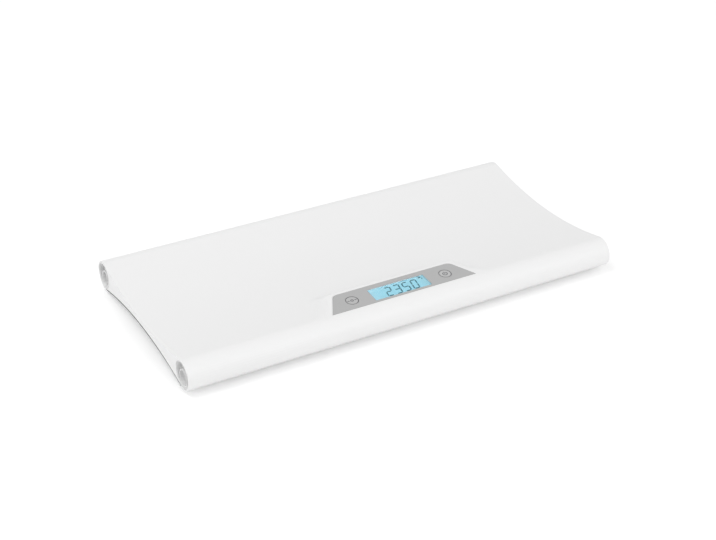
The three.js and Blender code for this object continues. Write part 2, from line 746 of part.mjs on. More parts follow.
// Circuit board with the chips, cable sockets and capacitor on its underside, and its four screws
function makeBoard() {
  const middle = boardBottom + board.thickness / 2;
  const plate = prism(roundedBox(board.width, board.depth, board.corner), board.thickness)
    .translate(0, 0, boardBottom);
  const packages = [controller, converter].map(({ width, depth: deep, height, x }) =>
    block([x - width / 2, -deep / 2, boardBottom - height], [x + width / 2, deep / 2, middle]));
  const sockets = [-plugX, -batteryPlugX, batteryPlugX, plugX].map((x) =>
    block([x - plug.width / 2, plug.y - plug.depth / 2, boardBottom - plug.height],
      [x + plug.width / 2, plug.y + plug.depth / 2, middle]));
  const can = drum(capacitor.radius, middle - boardBottom + capacitor.height, capacitor.x, capacitor.y,
    boardBottom - capacitor.height);
  const screws = [-1, 1].flatMap((sx) => [-1, 1].map((sy) =>
    screw(boardScrew, sx * postX, sy * boardPost.y, boardBottom - boardScrew.headHeight)));
  return geometryOf(join(plate, ...packages, ...sockets, can, ...screws));
}

// Screw with its head down: shank upwards from the head
function screw({ shank, head, headHeight, length: reach }, x, y, z) {
  return revolve([
    [0, 0], [head - shank / 2, 0], [head, shank / 2], [head, headHeight],
    [shank, headHeight], [shank, headHeight + reach - shank], [0, headHeight + reach],
  ], smallFacets).translate(x, y, z);
}

// Case screw with a cross slot in its head
function makeCaseScrew() {
  const half = screwSlot.length / 2;
  const side = screwSlot.width / 2;
  const slots = join(
    block([-half, -side, -overrun], [half, side, screwSlot.depth]),
    block([-side, -half, -overrun], [side, half, screwSlot.depth]),
  );
  return geometryOf(solid(screw(caseScrew, 0, 0, 0)).subtract(slots));
}

// Round button cap with its flange and stem
function makeButton() {
  const stemBottom = tactPlungerTop() + fit;
  const flangeTop = -panel.thickness - fit;
  const flangeBottom = flangeTop - button.flangeThickness;
  const wide = button.radius + button.flange;
  return revolve([
    [0, stemBottom], [button.stem, stemBottom], [button.stem, flangeBottom], [wide, flangeBottom],
    [wide, flangeTop], [button.radius, flangeTop], [button.radius, -fit], [button.radius - fit, 0], [0, 0],
  ]);
}

// Level of a switch's top face
function tactTop() {
  return boardTop + fit + tact.height;
}

// Level of the top of a switch's plunger
function tactPlungerTop() {
  return tactTop() + tact.proud;
}

// Body of a tact switch with a well for its plunger
function makeTact() {
  const half = tact.width / 2;
  const body = block([-half, -half, boardTop + fit], [half, half, tactTop()]);
  const wellDepth = tact.engaged + buttonTravel + fit;
  const well = drum(tact.plunger + fit, wellDepth + overrun, 0, 0, tactTop() - wellDepth);
  return geometryOf(solid(body).subtract(solid(well)));
}

// Plunger that the cap's stem pushes
function makePlunger() {
  return drum(tact.plunger, tact.proud + tact.engaged, 0, 0, tactTop() - tact.engaged);
}

// Foot: a round body with a recess for its pad, a flange that keeps it in, and the boss that lifts the cell
function makeFoot() {
  const rimZ = pad.thickness - pad.depth;
  const top = footFlangeZ + foot.flangeThickness;
  return revolve([
    [0, pad.thickness], [pad.radius + fit, pad.thickness], [pad.radius + fit, rimZ],
    [foot.radius - foot.taper, rimZ], [foot.radius, rimZ + foot.taper], [foot.radius, footFlangeZ],
    [foot.flange, footFlangeZ], [foot.flange, top], [foot.boss + foot.taper, top],
    [foot.boss, footBossTop], [0, footBossTop],
  ]);
}

// Rubber pad with a rounded edge
function makePad() {
  return revolve([
    [0, 0], [pad.radius - pad.lip, 0], [pad.radius, pad.lip], [pad.radius, pad.thickness], [0, pad.thickness],
  ]);
}

// Load cell: a steel plate whose slot frees a tongue above the foot
function makeLoadCell() {
  const outline = roundedBox(loadCell.width, loadCell.width, loadCell.corner);
  const outer = loadCell.tongue / 2 + loadCell.slot;
  const inner = loadCell.tongue / 2;
  const start = -loadCell.reach / 2;
  const end = loadCell.reach / 2;
  const slot = [
    [-outer, start], [-inner, start], [-inner, end - loadCell.slot], [inner, end - loadCell.slot],
    [inner, start], [outer, start], [outer, end], [-outer, end],
  ].map(([x, y]) => new THREE.Vector2(x, y));
  return prism(outline, loadCell.thickness, [slot.reverse()]);
}

// Holder: a cap over the load cell with a rim round it, and two ears with their screws
function makeHolder() {
  const inner = loadCell.width / 2 + fit;
  const outer = inner + holder.wall;
  const low = holderZ - holder.overlap;
  const square = (half, corner, from, to) =>
    prism(roundedBox(2 * half, 2 * half, corner), to - from).translate(0, 0, from);
  const cap = square(outer, loadCell.corner + holder.wall, low, earTop);
  const room = square(inner, loadCell.corner, holderZ - overrun, holderZ);
  const earReach = outer + holder.ear;
  const ears = block([-earReach, -holder.earDepth / 2, holderZ], [earReach, holder.earDepth / 2, earTop]);
  const relief = block([-holder.reliefWidth / 2, -holder.reliefWidth / 2, holderZ - overrun],
    [holder.reliefWidth / 2, holder.reliefWidth / 2, holderZ + holder.relief]);
  const screws = [-earX, earX].map((x) => screw(holderScrew, x, 0, holderZ - holderScrew.headHeight));
  return geometryOf(join(cap, ears).subtract(join(room, relief)).add(join(...screws)));
}

// Battery about X: a can with a nub at one end
function makeBattery() {
  const soft = battery.nubLength / 2;
  return revolve([
    [0, 0], [battery.radius - soft, 0], [battery.radius, soft], [battery.radius, battery.length - soft],
    [battery.radius - soft, battery.length], [battery.nubRadius, battery.length],
    [battery.nubRadius, battery.length + battery.nubLength], [0, battery.length + battery.nubLength],
  ]).rotateY(Math.PI / 2);
}

// Contact at the bay's end: a plate that spans its batteries, with a tapering spring for a flat end
function makeContact({ rows, springRow }) {
  const rowY = rows.map(batteryRow);
  const near = bayX / 2 - fit - contact.plate;
  const plate = block(
    [near, Math.min(...rowY) - contact.width / 2, -contact.height / 2],
    [near + contact.plate, Math.max(...rowY) + contact.width / 2, contact.height / 2],
  );
  const pieces = [plate];
  if (springRow !== undefined) {
    pieces.push(makeSpring().rotateY(Math.PI).translate(near + contact.plate / 2, batteryRow(springRow), 0));
  }
  return geometryOf(join(...pieces));
}

// Tapering spring along X, from the middle of its plate towards the battery
function makeSpring() {
  const count = coil.turns * coil.steps;
  const reach = contact.plate / 2 + contact.reach - contact.wire;
  const points = Array.from({ length: count + 1 }, (_, i) => {
    const share = i / count;
    const angle = 2 * Math.PI * coil.turns * share;
    const radius = THREE.MathUtils.lerp(contact.coil, contact.tip, share);
    return [reach * share, radius * Math.cos(angle), radius * Math.sin(angle)];
  });
  return tube(points, { radius: contact.wire, steps: count, sides: coil.sides });
}

// Row of a battery across the bay
function batteryRow(index) {
  return (index - (battery.count - 1) / 2) * battery.pitch;
}

// Side that a battery's nub points to, each the other way from the one beside it
function batterySide(index) {
  return index % 2 === 0 ? 1 : -1;
}

// Level of a cable that lies on the cover's inner face
function onCover(y) {
  return archHeight(y) + baseWall + fit + 2 * cable.radius;
}

// Point of the console's frame in the part's frame
function fromConsole(x, y, z) {
  return new THREE.Vector3(x, y, z).applyMatrix4(consoleFrame).toArray();
}

// Cable from a load cell to its socket on the board
function makeCellCable({ sx, sy }) {
  const start = footX - loadCell.width / 2 - holder.wall - cable.radius;
  const run = rollY - cableLane;
  const entry = plugX - sy * plug.apart;
  const atCell = [
    [sx * start, sy * footY * cellRoute.exit, loadCellZ - cable.radius],
    [sx * (start - cellRoute.bend * cable.radius), sy * footY, loadCellZ - cellRoute.drop * cable.radius],
    [sx * footX * cellRoute.far, sy * run, onCover(run)],
    [sx * footX * cellRoute.near, sy * run, onCover(run)],
  ];
  const atSocket = [
    fromConsole(sx * entry, plug.y, socketBottom() - plug.height),
    fromConsole(sx * entry, plug.y, socketBottom()),
  ];
  if (sy < 0) {
    const lift = onCover(run) + cellRoute.lift * cable.radius;
    return tube([...atCell, [sx * (plugX + plug.width), -run, lift], ...atSocket], cable);
  }
  const lane = doorHalfX + bay.rim + rearRoute.margin * cable.radius;
  const end = run * rearRoute.end;
  return tube([
    ...atCell,
    [sx * (lane + rearRoute.bend * cable.radius), run, onCover(run)],
    ...rearRoute.crossing.map((share) => [sx * lane, run * share, onCover(run * share)]),
    [sx * (lane + plug.width / 2), end, onCover(end)],
    ...atSocket,
  ], cable);
}

// Level of the open side of the board's sockets
function socketBottom() {
  return boardBottom - fit - plug.height;
}

// Lead from the battery bay to its socket on the board
function makeBatteryLead(side) {
  const wall = bayCentreY - bayY / 2 - bay.wall;
  const start = wall - leadRoute.bend * lead.radius;
  const x = side * bayX * leadRoute.apart;
  return tube([
    [x, start, onCover(start) + leadRoute.lift * lead.radius],
    [x, wall * leadRoute.rise, onCover(wall * leadRoute.rise)],
    [x, 0, onCover(0)],
    [side * bayX * leadRoute.spread, wall * leadRoute.end, onCover(wall * leadRoute.end)],
    fromConsole(side * batteryPlugX, plug.y, socketBottom() - plug.height),
    fromConsole(side * batteryPlugX, plug.y, socketBottom()),
  ], lead);
}

// Finishes: colour, roughness and metalness
const finishes = {
  whiteShell: new THREE.MeshStandardMaterial({ color: 0xf1f1f1, roughness: 0.38 }),
  plugGrey: new THREE.MeshStandardMaterial({ color: 0xdcdcdc, roughness: 0.5 }),
  panelGrey: new THREE.MeshStandardMaterial({ color: 0xb4b4b4, roughness: 0.4 }),
  buttonGrey: new THREE.MeshStandardMaterial({ color: 0xb9b9b9, roughness: 0.42 }),
  clear: new THREE.MeshStandardMaterial({ color: 0xc4ecf7, roughness: 0.06, transparent: true, opacity: 0.35 }),
  display: new THREE.MeshStandardMaterial({ color: 0x8fdcf2, roughness: 0.2 }),
  glow: new THREE.MeshStandardMaterial({ color: 0xd8f6ff, roughness: 0.4 }),
  inner: new THREE.MeshStandardMaterial({ color: 0xe4e4e0, roughness: 0.6 }),
  boardGreen: new THREE.MeshStandardMaterial({ color: 0x1f5f3a, roughness: 0.5 }),
  chipBlack: new THREE.MeshStandardMaterial({ color: 0x1b1b1d, roughness: 0.5 }),
  rubber: new THREE.MeshStandardMaterial({ color: 0x8a8a8a, roughness: 0.85 }),
  steel: new THREE.MeshStandardMaterial({ color: 0xb9bcc0, roughness: 0.3, metalness: 1 }),
  battery: new THREE.MeshStandardMaterial({ color: 0x4c5560, roughness: 0.35, metalness: 0.3 }),
  cable: new THREE.MeshStandardMaterial({ color: 0xd2d2cf, roughness: 0.6 }),
};

const scale = new THREE.Group();
const consoleGroup = new THREE.Group();
consoleGroup.position.set(0, consoleY, consoleZ);
consoleGroup.rotation.x = panelTilt;
const bayGroup = new THREE.Group();
bayGroup.position.set(0, bayCentreY, archHeight(bayCentreY));
bayGroup.rotation.x = bayTilt;
scale.add(consoleGroup, bayGroup);

// Adds a named piece to a group
function add(group, name, geometry, material, position = [0, 0, 0]) {
  const mesh = new THREE.Mesh(geometry, material);
  mesh.name = name;
  mesh.position.set(...position);
  group.add(mesh);
  return mesh;
}

add(scale, 'tray', makeTray(), finishes.whiteShell);
add(scale, 'base_cover', makeCover(), finishes.whiteShell);
add(scale, 'battery_door', makeDoor(), finishes.whiteShell);

for (const corner of corners) {
  const { name, sx, sy } = corner;
  const endPiece = add(scale, `end_plug_${name}`, makeEndPlug(), finishes.plugGrey);
  endPiece.rotation.z = sx > 0 ? 0 : Math.PI;
  endPiece.position.set(sx * (halfLength - endPlug.sink - endPlug.depth), sy * rollY, rollZ);
  const place = [sx * footX, sy * footY, 0];
  add(scale, `foot_${name}`, makeFoot(), finishes.inner, place);
  add(scale, `foot_pad_${name}`, makePad(), finishes.rubber, place);
  add(scale, `load_cell_${name}`, makeLoadCell(), finishes.steel, [sx * footX, sy * footY, loadCellZ]);
  add(scale, `load_cell_holder_${name}`, makeHolder(), finishes.inner, place);
  add(scale, `cell_cable_${name}`, makeCellCable(corner), finishes.cable);
}

add(consoleGroup, 'display_panel', makePanel(), finishes.panelGrey);
add(consoleGroup, 'display_window', makeWindow(), finishes.clear);
add(consoleGroup, 'display_cell', makeLayer(cell, cellTop), finishes.display);
add(consoleGroup, 'backlight', makeLayer(backlight, backlightTop, display.offset), finishes.glow);
add(consoleGroup, 'display_cradle', makeCradle(), finishes.inner);
add(consoleGroup, 'display_connector', makeZebra(), finishes.rubber);
add(consoleGroup, 'circuit_board', makeBoard(), finishes.boardGreen);

for (const [name, side] of [['zero', -1], ['power', 1]]) {
  const place = [side * button.x, button.offset, 0];
  add(consoleGroup, `button_${name}`, makeButton(), finishes.buttonGrey, place);
  add(consoleGroup, `switch_${name}`, makeTact(), finishes.chipBlack, place);
  add(consoleGroup, `switch_plunger_${name}`, makePlunger(), finishes.inner, place);
}

for (let i = 0; i < battery.count; i += 1) {
  const side = batterySide(i);
  const mesh = add(bayGroup, `battery_${i + 1}`, makeBattery(), finishes.battery);
  mesh.rotation.z = side > 0 ? 0 : Math.PI;
  mesh.position.set(-side * (bayX / 2 - plateRoom - contact.reach), batteryRow(i), batteryZ);
}
for (const entry of contacts) {
  const name = `battery_contact_${entry.name}`;
  const mesh = add(bayGroup, name, makeContact(entry), finishes.steel, [0, 0, batteryZ]);
  mesh.rotation.y = entry.side > 0 ? 0 : Math.PI;
}
add(scale, 'battery_lead_left', makeBatteryLead(-1), finishes.cable);
add(scale, 'battery_lead_right', makeBatteryLead(1), finishes.cable);

caseScrews.forEach(({ x, y, head }, i) => {
  add(scale, `case_screw_${i + 1}`, makeCaseScrew(), finishes.steel, [x, y, head]);
});

export default scale;
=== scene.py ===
"""Looks of a digital baby weighing scale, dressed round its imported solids. Metres, +Z up."""

import logging
import math
from dataclasses import dataclass
from enum import Enum
from typing import Any, Iterable, Sequence

import bmesh
import bpy
from mathutils import Matrix, Vector


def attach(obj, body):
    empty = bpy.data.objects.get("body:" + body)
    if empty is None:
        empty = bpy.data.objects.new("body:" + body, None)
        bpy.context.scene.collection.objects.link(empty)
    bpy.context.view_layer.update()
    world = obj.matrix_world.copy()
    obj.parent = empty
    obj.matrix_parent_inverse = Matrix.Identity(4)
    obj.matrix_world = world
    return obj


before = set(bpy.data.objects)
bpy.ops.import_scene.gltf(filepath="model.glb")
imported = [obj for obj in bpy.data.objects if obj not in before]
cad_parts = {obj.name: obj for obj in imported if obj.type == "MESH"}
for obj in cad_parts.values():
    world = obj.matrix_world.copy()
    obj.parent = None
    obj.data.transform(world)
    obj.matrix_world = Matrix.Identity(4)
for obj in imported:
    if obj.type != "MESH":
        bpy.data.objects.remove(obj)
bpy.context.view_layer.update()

logging.basicConfig(level=logging.INFO, format="%(message)s")
log = logging.getLogger("scale")

MM = 0.001
TURN = 2 * math.pi
CORNERS = ("front_left", "front_right", "rear_left", "rear_right")

Colour = tuple[float, float, float]
Triple = tuple[float, float, float]
Point = tuple[float, float]

WHITE: Colour = (1.0, 1.0, 1.0)
ACROSS: Triple = (1.0, 0.0, 0.0)
BACK: Triple = (0.0, 1.0, 0.0)
MATERIALS: dict[str, bpy.types.Material] = {}


def srgb(red: float, green: float, blue: float) -> Colour:
    """Linear colour of a display colour.

    Args:
        red: red, from 0 to 255.
        green: green, from 0 to 255.
        blue: blue, from 0 to 255.

    Returns:
        The three linear parts, from 0 to 1.
    """
    return tuple(linear(part / 255) for part in (red, green, blue))


def linear(part: float) -> float:
    """Linear value of one display colour part from 0 to 1."""
    return part / 12.92 if part <= 0.04045 else ((part + 0.055) / 1.055) ** 2.4


def opaque(colour: Colour) -> tuple[float, ...]:
    """The colour with a full alpha after it."""
    return (*colour, 1.0)


def lighter(colour: Colour, share: float) -> Colour:
    """The colour with each part changed by a share of itself, at most 1."""
    return tuple(min(part * (1 + share), 1.0) for part in colour)


class Value:
    """A numeric output of a node. Arithmetic on it adds Math nodes."""

    def __init__(self, tree: "Tree", socket: bpy.types.NodeSocket) -> None:
        """Wraps a socket.

        Args:
            tree: the tree that the socket's node is in.
            socket: the output.
        """
        self.tree = tree
        self.socket = socket

    def __add__(self, other: "Value | float") -> "Value":
        """Sum of the two."""
        return self.tree.math("ADD", self, other)

    def __radd__(self, other: float) -> "Value":
        """Sum, with the number first."""
        return self.tree.math("ADD", other, self)

    def __sub__(self, other: "Value | float") -> "Value":
        """Difference of the two."""
        return self.tree.math("SUBTRACT", self, other)

    def __rsub__(self, other: float) -> "Value":
        """Difference, with the number first."""
        return self.tree.math("SUBTRACT", other, self)

    def __mul__(self, other: "Value | float") -> "Value":
        """Product of the two."""
        return self.tree.math("MULTIPLY", self, other)

    def __rmul__(self, other: float) -> "Value":
        """Product, with the number first."""
        return self.tree.math("MULTIPLY", other, self)

    def __lt__(self, other: "Value | float") -> "Value":
        """1 where this is below the other, else 0."""
        return self.tree.math("LESS_THAN", self, other)

    def __gt__(self, other: "Value | float") -> "Value":
        """1 where this is above the other, else 0."""
        return self.tree.math("GREATER_THAN", self, other)

    def __abs__(self) -> "Value":
        """Size without its sign."""
        return self.tree.math("ABSOLUTE", self)

    def around(self, middle: float, spread: float) -> "Value":
        """Turns 0 to 1 into the range from a spread below a middle to a spread above it."""
        return self * (2 * spread) + (middle - spread)

    def step(self, low: float, high: float) -> "Value":
        """Smooth step.

        Args:
            low: the value that gives 0.
            high: the value that gives 1.

        Returns:
            The step, from 0 to 1.
        """
        settings = {"interpolation_type": "SMOOTHSTEP"}
        inputs = {"Value": self, "From Min": low, "From Max": high}
        node = self.tree.add("ShaderNodeMapRange", settings, inputs)
        return Value(self.tree, node.outputs["Result"])


class Tree:
    """Node tree of a material or of the world."""

    def __init__(self, owner: Any) -> None:
        """Clears the owner's tree.

        Args:
            owner: the material or world.
        """
        owner.use_nodes = True
        self.tree = owner.node_tree
        self.tree.nodes.clear()

    def add(self, kind: str, settings: dict[str, Any] | None = None,
            inputs: dict[Any, Any] | None = None) -> Any:
        """Adds a node of any type.

        Args:
            kind: the node's type.
            settings: what is set on the node first.
            inputs: for each input, by name or number, a number, a colour, a Value or an output.

        Returns:
            The node.
        """
        node = self.tree.nodes.new(kind)
        for name, setting in (settings or {}).items():
            setattr(node, name, setting)
        for name, given in (inputs or {}).items():
            source = given.socket if isinstance(given, Value) else given
            if isinstance(source, bpy.types.NodeSocket):
                self.tree.links.new(source, node.inputs[name])
            else:
                node.inputs[name].default_value = source
        return node

    def math(self, operation: str, *values: "Value | float") -> Value:
        """Adds a Math node.

        Args:
            operation: what it works out.
            values: its inputs in order.

        Returns:
            Its output.
        """
        node = self.add("ShaderNodeMath", {"operation": operation}, dict(enumerate(values)))
        return Value(self, node.outputs[0])

    def vector(self, operation: str, *vectors: Any) -> Any:
        """Adds a Vector Math node and returns it."""
        return self.add("ShaderNodeVectorMath", {"operation": operation}, dict(enumerate(vectors)))

    def place(self) -> Any:
        """The point on the surface, in the row frame at rest."""
        return self.add("ShaderNodeTexCoord").outputs["Object"]

    def along(self, direction: Triple) -> Value:
        """Distance of the point along a direction.

        Args:
            direction: a unit vector in the row frame.

        Returns:
            The distance from the origin.
        """
        return Value(self, self.vector("DOT_PRODUCT", self.place(), direction).outputs["Value"])

    def noise(self, scale: float, detail: float = 2.0, stretch: Triple | None = None) -> Value:
        """Noise from 0 to 1.

        Args:
            scale: lumps in a metre.
            detail: how many finer octaves it has.
            stretch: a scale for each coordinate, if the pattern has a direction.

        Returns:
            The noise.
        """
        point = self.place()
        if stretch:
            point = self.vector("MULTIPLY", point, stretch).outputs["Vector"]
        inputs = {"Vector": point, "Scale": scale, "Detail": detail}
        return Value(self, self.add("ShaderNodeTexNoise", None, inputs).outputs[0])

    def mix(self, factor: "Value | float", first: Any, second: Any) -> Any:
        """Mixes two colours.

        Args:
            factor: the share of the second.
            first: a colour or a colour output.
            second: a colour or a colour output.

        Returns:
            The colour output.
        """
        inputs = {0: factor, 6: self.colour(first), 7: self.colour(second)}
        return self.add("ShaderNodeMix", {"data_type": "RGBA"}, inputs).outputs[2]

    def varied(self, factor: "Value | float", colour: Colour, down: float, up: float) -> Any:
        """Varies a colour.

        Args:
            factor: 0 gives the darkest and 1 the palest.
            colour: the colour that it varies about.
            down: the share by which the darkest is darker.
            up: the share by which the palest is paler.

        Returns:
            The colour output.
        """
        return self.mix(factor, lighter(colour, -down), lighter(colour, up))

    @staticmethod
    def colour(given: Any) -> Any:
        """A colour as its input takes it, or the output unchanged."""
        return opaque(given) if isinstance(given, tuple) else given

    def bump(self, height: Value, distance: float) -> Any:
        """Normal from a height.

        Args:
            height: the height, from 0 to 1.
            distance: the height that 1 stands for, in metres.

        Returns:
            The normal output.
        """
        inputs = {"Height": height, "Distance": distance, "Strength": 1.0}
        return self.add("ShaderNodeBump", None, inputs).outputs["Normal"]

    def surface(self, inputs: dict[str, Any]) -> None:
        """Adds the main shader with its inputs, and the output."""
        shader = self.add("ShaderNodeBsdfPrincipled", None, inputs)
        self.add("ShaderNodeOutputMaterial", None, {"Surface": shader.outputs[0]})

    def seen(self) -> Value:
        """Where a backdrop shows as such.

        Returns:
            1 for rays from the camera, from gloss and through glass, else 0.
        """
        rays = self.add("ShaderNodeLightPath").outputs
        camera, gloss, through = (Value(self, rays[f"Is {kind} Ray"])
                                  for kind in ("Camera", "Glossy", "Transmission"))
        return self.math("MAXIMUM", self.math("MAXIMUM", camera, gloss), through)


class Finish:
    """A material that is made once and shared."""

    name: str

    def material(self) -> bpy.types.Material:
        """Makes the material at its first use.

        Returns:
            The material of this finish.
        """
        if self.name not in MATERIALS:
            MATERIALS[self.name] = bpy.data.materials.new(f"{self.name}_look")
            self.paint(Tree(MATERIALS[self.name]))
        return MATERIALS[self.name]

    def paint(self, tree: Tree) -> None:
        """Adds the nodes of the finish.

        Args:
            tree: the material's tree, still empty.
        """
        raise NotImplementedError


@dataclass(frozen=True)
class MouldedPlastic(Finish):
    """Moulded plastic with faint flow marks, a fine grain and uneven gloss."""

    name: str
    colour: Colour
    roughness: float = 0.4
    uneven: float = 0.05  # how far the roughness goes up and down
    flow: float = 0.012  # share by which the flow marks vary the colour
    flow_scale: float = 9.0
    sheen_ratio: float = 6.0  # how much finer the patches of gloss are
    grain: float = 0.004 * MM  # its height
    grain_scale: float = 2600.0
    specular: float = 0.5
    stretch: Triple = (1.0, 2.4, 1.6)

    def paint(self, tree: Tree) -> None:
        """Adds the nodes of the finish.

        Args:
            tree: the material's tree, still empty.
        """
        marks = tree.noise(self.flow_scale, detail=3.0, stretch=self.stretch)
        sheen = tree.noise(self.flow_scale * self.sheen_ratio)
        tree.surface({
            "Base Color": tree.varied(marks, self.colour, self.flow, self.flow),
            "Roughness": sheen.around(self.roughness, self.uneven),
            "Normal": tree.bump(tree.noise(self.grain_scale, detail=1.0), self.grain),
            "Specular IOR Level": self.specular,
        })


@dataclass(frozen=True)
class BrushedSteel(Finish):
    """Steel with streaks along one direction."""

    name: str
    colour: Colour = srgb(196, 198, 202)
    stretch: Triple = (1.0, 40.0, 40.0)
    roughness: float = 0.3
    uneven: float = 0.1
    streak_scale: float = 120.0
    streak_depth: float = 0.004 * MM
    cloud_scale: float = 60.0
    darker: float = 0.08
    paler: float = 0.04

    def paint(self, tree: Tree) -> None:
        """Adds the nodes of the finish.

        Args:
            tree: the material's tree, still empty.
        """
        streaks = tree.noise(self.streak_scale, detail=3.0, stretch=self.stretch)
        cloud = tree.noise(self.cloud_scale)
        tree.surface({
            "Base Color": tree.varied(cloud, self.colour, self.darker, self.paler),
            "Metallic": 1.0,
            "Roughness": streaks.around(self.roughness, self.uneven),
            "Normal": tree.bump(streaks, self.streak_depth),
        })


@dataclass(frozen=True)
class MouldedRubber(Finish):
    """Rubber with concentric ribs round the foot that it belongs to."""

    name: str
    centre: Point = (0.0, 0.0)
    colour: Colour = srgb(120, 120, 120)
    ribs: float = 520.0  # in a metre
    rib_height: float = 0.12 * MM
    roughness: float = 0.795
    uneven: float = 0.075
    dust_scale: float = 300.0
    darker: float = 0.15
    paler: float = 0.12

    def paint(self, tree: Tree) -> None:
        """Adds the nodes of the finish.

        Args:
            tree: the material's tree, still empty.
        """
        across = tree.along(ACROSS) - self.centre[0]
        back = tree.along(BACK) - self.centre[1]
        radius = tree.math("SQRT", across * across + back * back)
        wave = tree.math("SINE", radius * (self.ribs * TURN)) * 0.5 + 0.5
        dust = tree.noise(self.dust_scale, detail=3.0)
        tree.surface({
            "Base Color": tree.varied(dust, self.colour, self.darker, self.paler),
            "Roughness": dust.around(self.roughness, self.uneven),
            "Normal": tree.bump(wave, self.rib_height),
        })


@dataclass(frozen=True)
class ClearWindow(Finish):
    """Clear moulded window with faint wipe marks."""

    name: str
    colour: Colour = (0.93, 0.985, 1.0)
    index: float = 1.49
    sheen: Colour = (0.1, 0.1, 0.1)
    roughness: float = 0.03
    uneven: float = 0.015
    wipe_scale: float = 90.0
    wipe_stretch: Triple = (1.0, 0.25, 1.0)

    def paint(self, tree: Tree) -> None:
        """Adds the nodes of the finish.

        Args:
            tree: the material's tree, still empty.
        """
        wipes = tree.noise(self.wipe_scale, detail=3.0, stretch=self.wipe_stretch)
        tree.surface({
            "Base Color": opaque(self.colour),
            "Roughness": wipes.around(self.roughness, self.uneven),
            "IOR": self.index,
            "Transmission Weight": 1.0,
            "Specular Tint": opaque(self.sheen),
        })


@dataclass(frozen=True)
class LitGlass(Finish):
    """Display glass, lit from behind: palest at its left end, with a fine grid of cells."""

    name: str
    colour: Colour = srgb(151, 214, 232)
    pale: Colour = srgb(170, 218, 234)
    dim: Colour = srgb(150, 200, 214)
    left: float = -37.0 * MM
    right: float = 37.0 * MM
    fade: float = 24.0 * MM  # how far the pale end reaches
    edge: float = 10.0 * MM  # how soft both changes of colour are
    strength: float = 0.7
    pitch: float = 0.5 * MM  # of the cells
    grid: float = 0.012  # share by which the cells vary the light
    unlit: Point = (0.7, 0.6)  # shares by which the glass itself is darker than its light
    roughness: float = 0.25
    uneven: float = 0.05
    cloud_scale: float = 45.0

    def paint(self, tree: Tree) -> None:
        """Adds the nodes of the finish.

        Args:
            tree: the material's tree, still empty.
        """
        across = tree.along(ACROSS)
        cloud = tree.noise(self.cloud_scale)
        cells = tree.math("SINE", across * (TURN / self.pitch)) * self.grid
        soft = across + cloud * self.edge
        away = soft.step(self.left, self.left + self.fade)
        rim = soft.step(self.right - self.edge, self.right + self.edge)
        light = tree.mix(away + cells, self.pale, self.colour)
        tree.surface({
            "Base Color": tree.varied(cloud, self.colour, self.unlit[0], -self.unlit[1]),
            "Roughness": cloud.around(self.roughness, self.uneven),
            "Emission Color": tree.mix(rim, light, self.dim),
            "Emission Strength": self.strength,
        })


@dataclass(frozen=True)
class Ink(Finish):
    """Printed ink or a lit segment, slightly uneven."""

    name: str
    colour: Colour
    glow: float = 0.0
    specular: float = 0.5
    shades: float = 0.12
    blot_scale: float = 900.0
    roughness: float = 0.5
    uneven: float = 0.05

    def paint(self, tree: Tree) -> None:
        """Adds the nodes of the finish.

        Args:
            tree: the material's tree, still empty.
        """
        blots = tree.noise(self.blot_scale)
        shade = tree.varied(blots, self.colour, self.shades, self.shades)
        tree.surface({
            "Base Color": shade,
            "Roughness": blots.around(self.roughness, self.uneven),
            "Emission Color": shade,
            "Emission Strength": self.glow,
            "Specular IOR Level": self.specular,
        })


@dataclass(frozen=True)
class LitDiffuser(Finish):
    """Milky plate that spreads the display's light, brightest near its edge lamps."""

    name: str
    colour: Colour = srgb(224, 246, 255)
    half: float = 39.5 * MM
    strength: float = 0.6
    dimmed: float = 0.25
    dot_scale: float = 1400.0
    dot_shade: float = 0.1
    roughness: float = 0.5
    uneven: float = 0.05

    def paint(self, tree: Tree) -> None:
        """Adds the nodes of the finish.

        Args:
            tree: the material's tree, still empty.
        """
        away = abs(tree.along(ACROSS)).step(0.0, self.half)
        dots = tree.noise(self.dot_scale, detail=1.0)
        tree.surface({
            "Base Color": tree.varied(dots, self.colour, self.dot_shade, 0.0),
            "Roughness": dots.around(self.roughness, self.uneven),
            "Emission Color": tree.varied(away, self.colour, self.dimmed, 0.0),
            "Emission Strength": self.strength,
        })


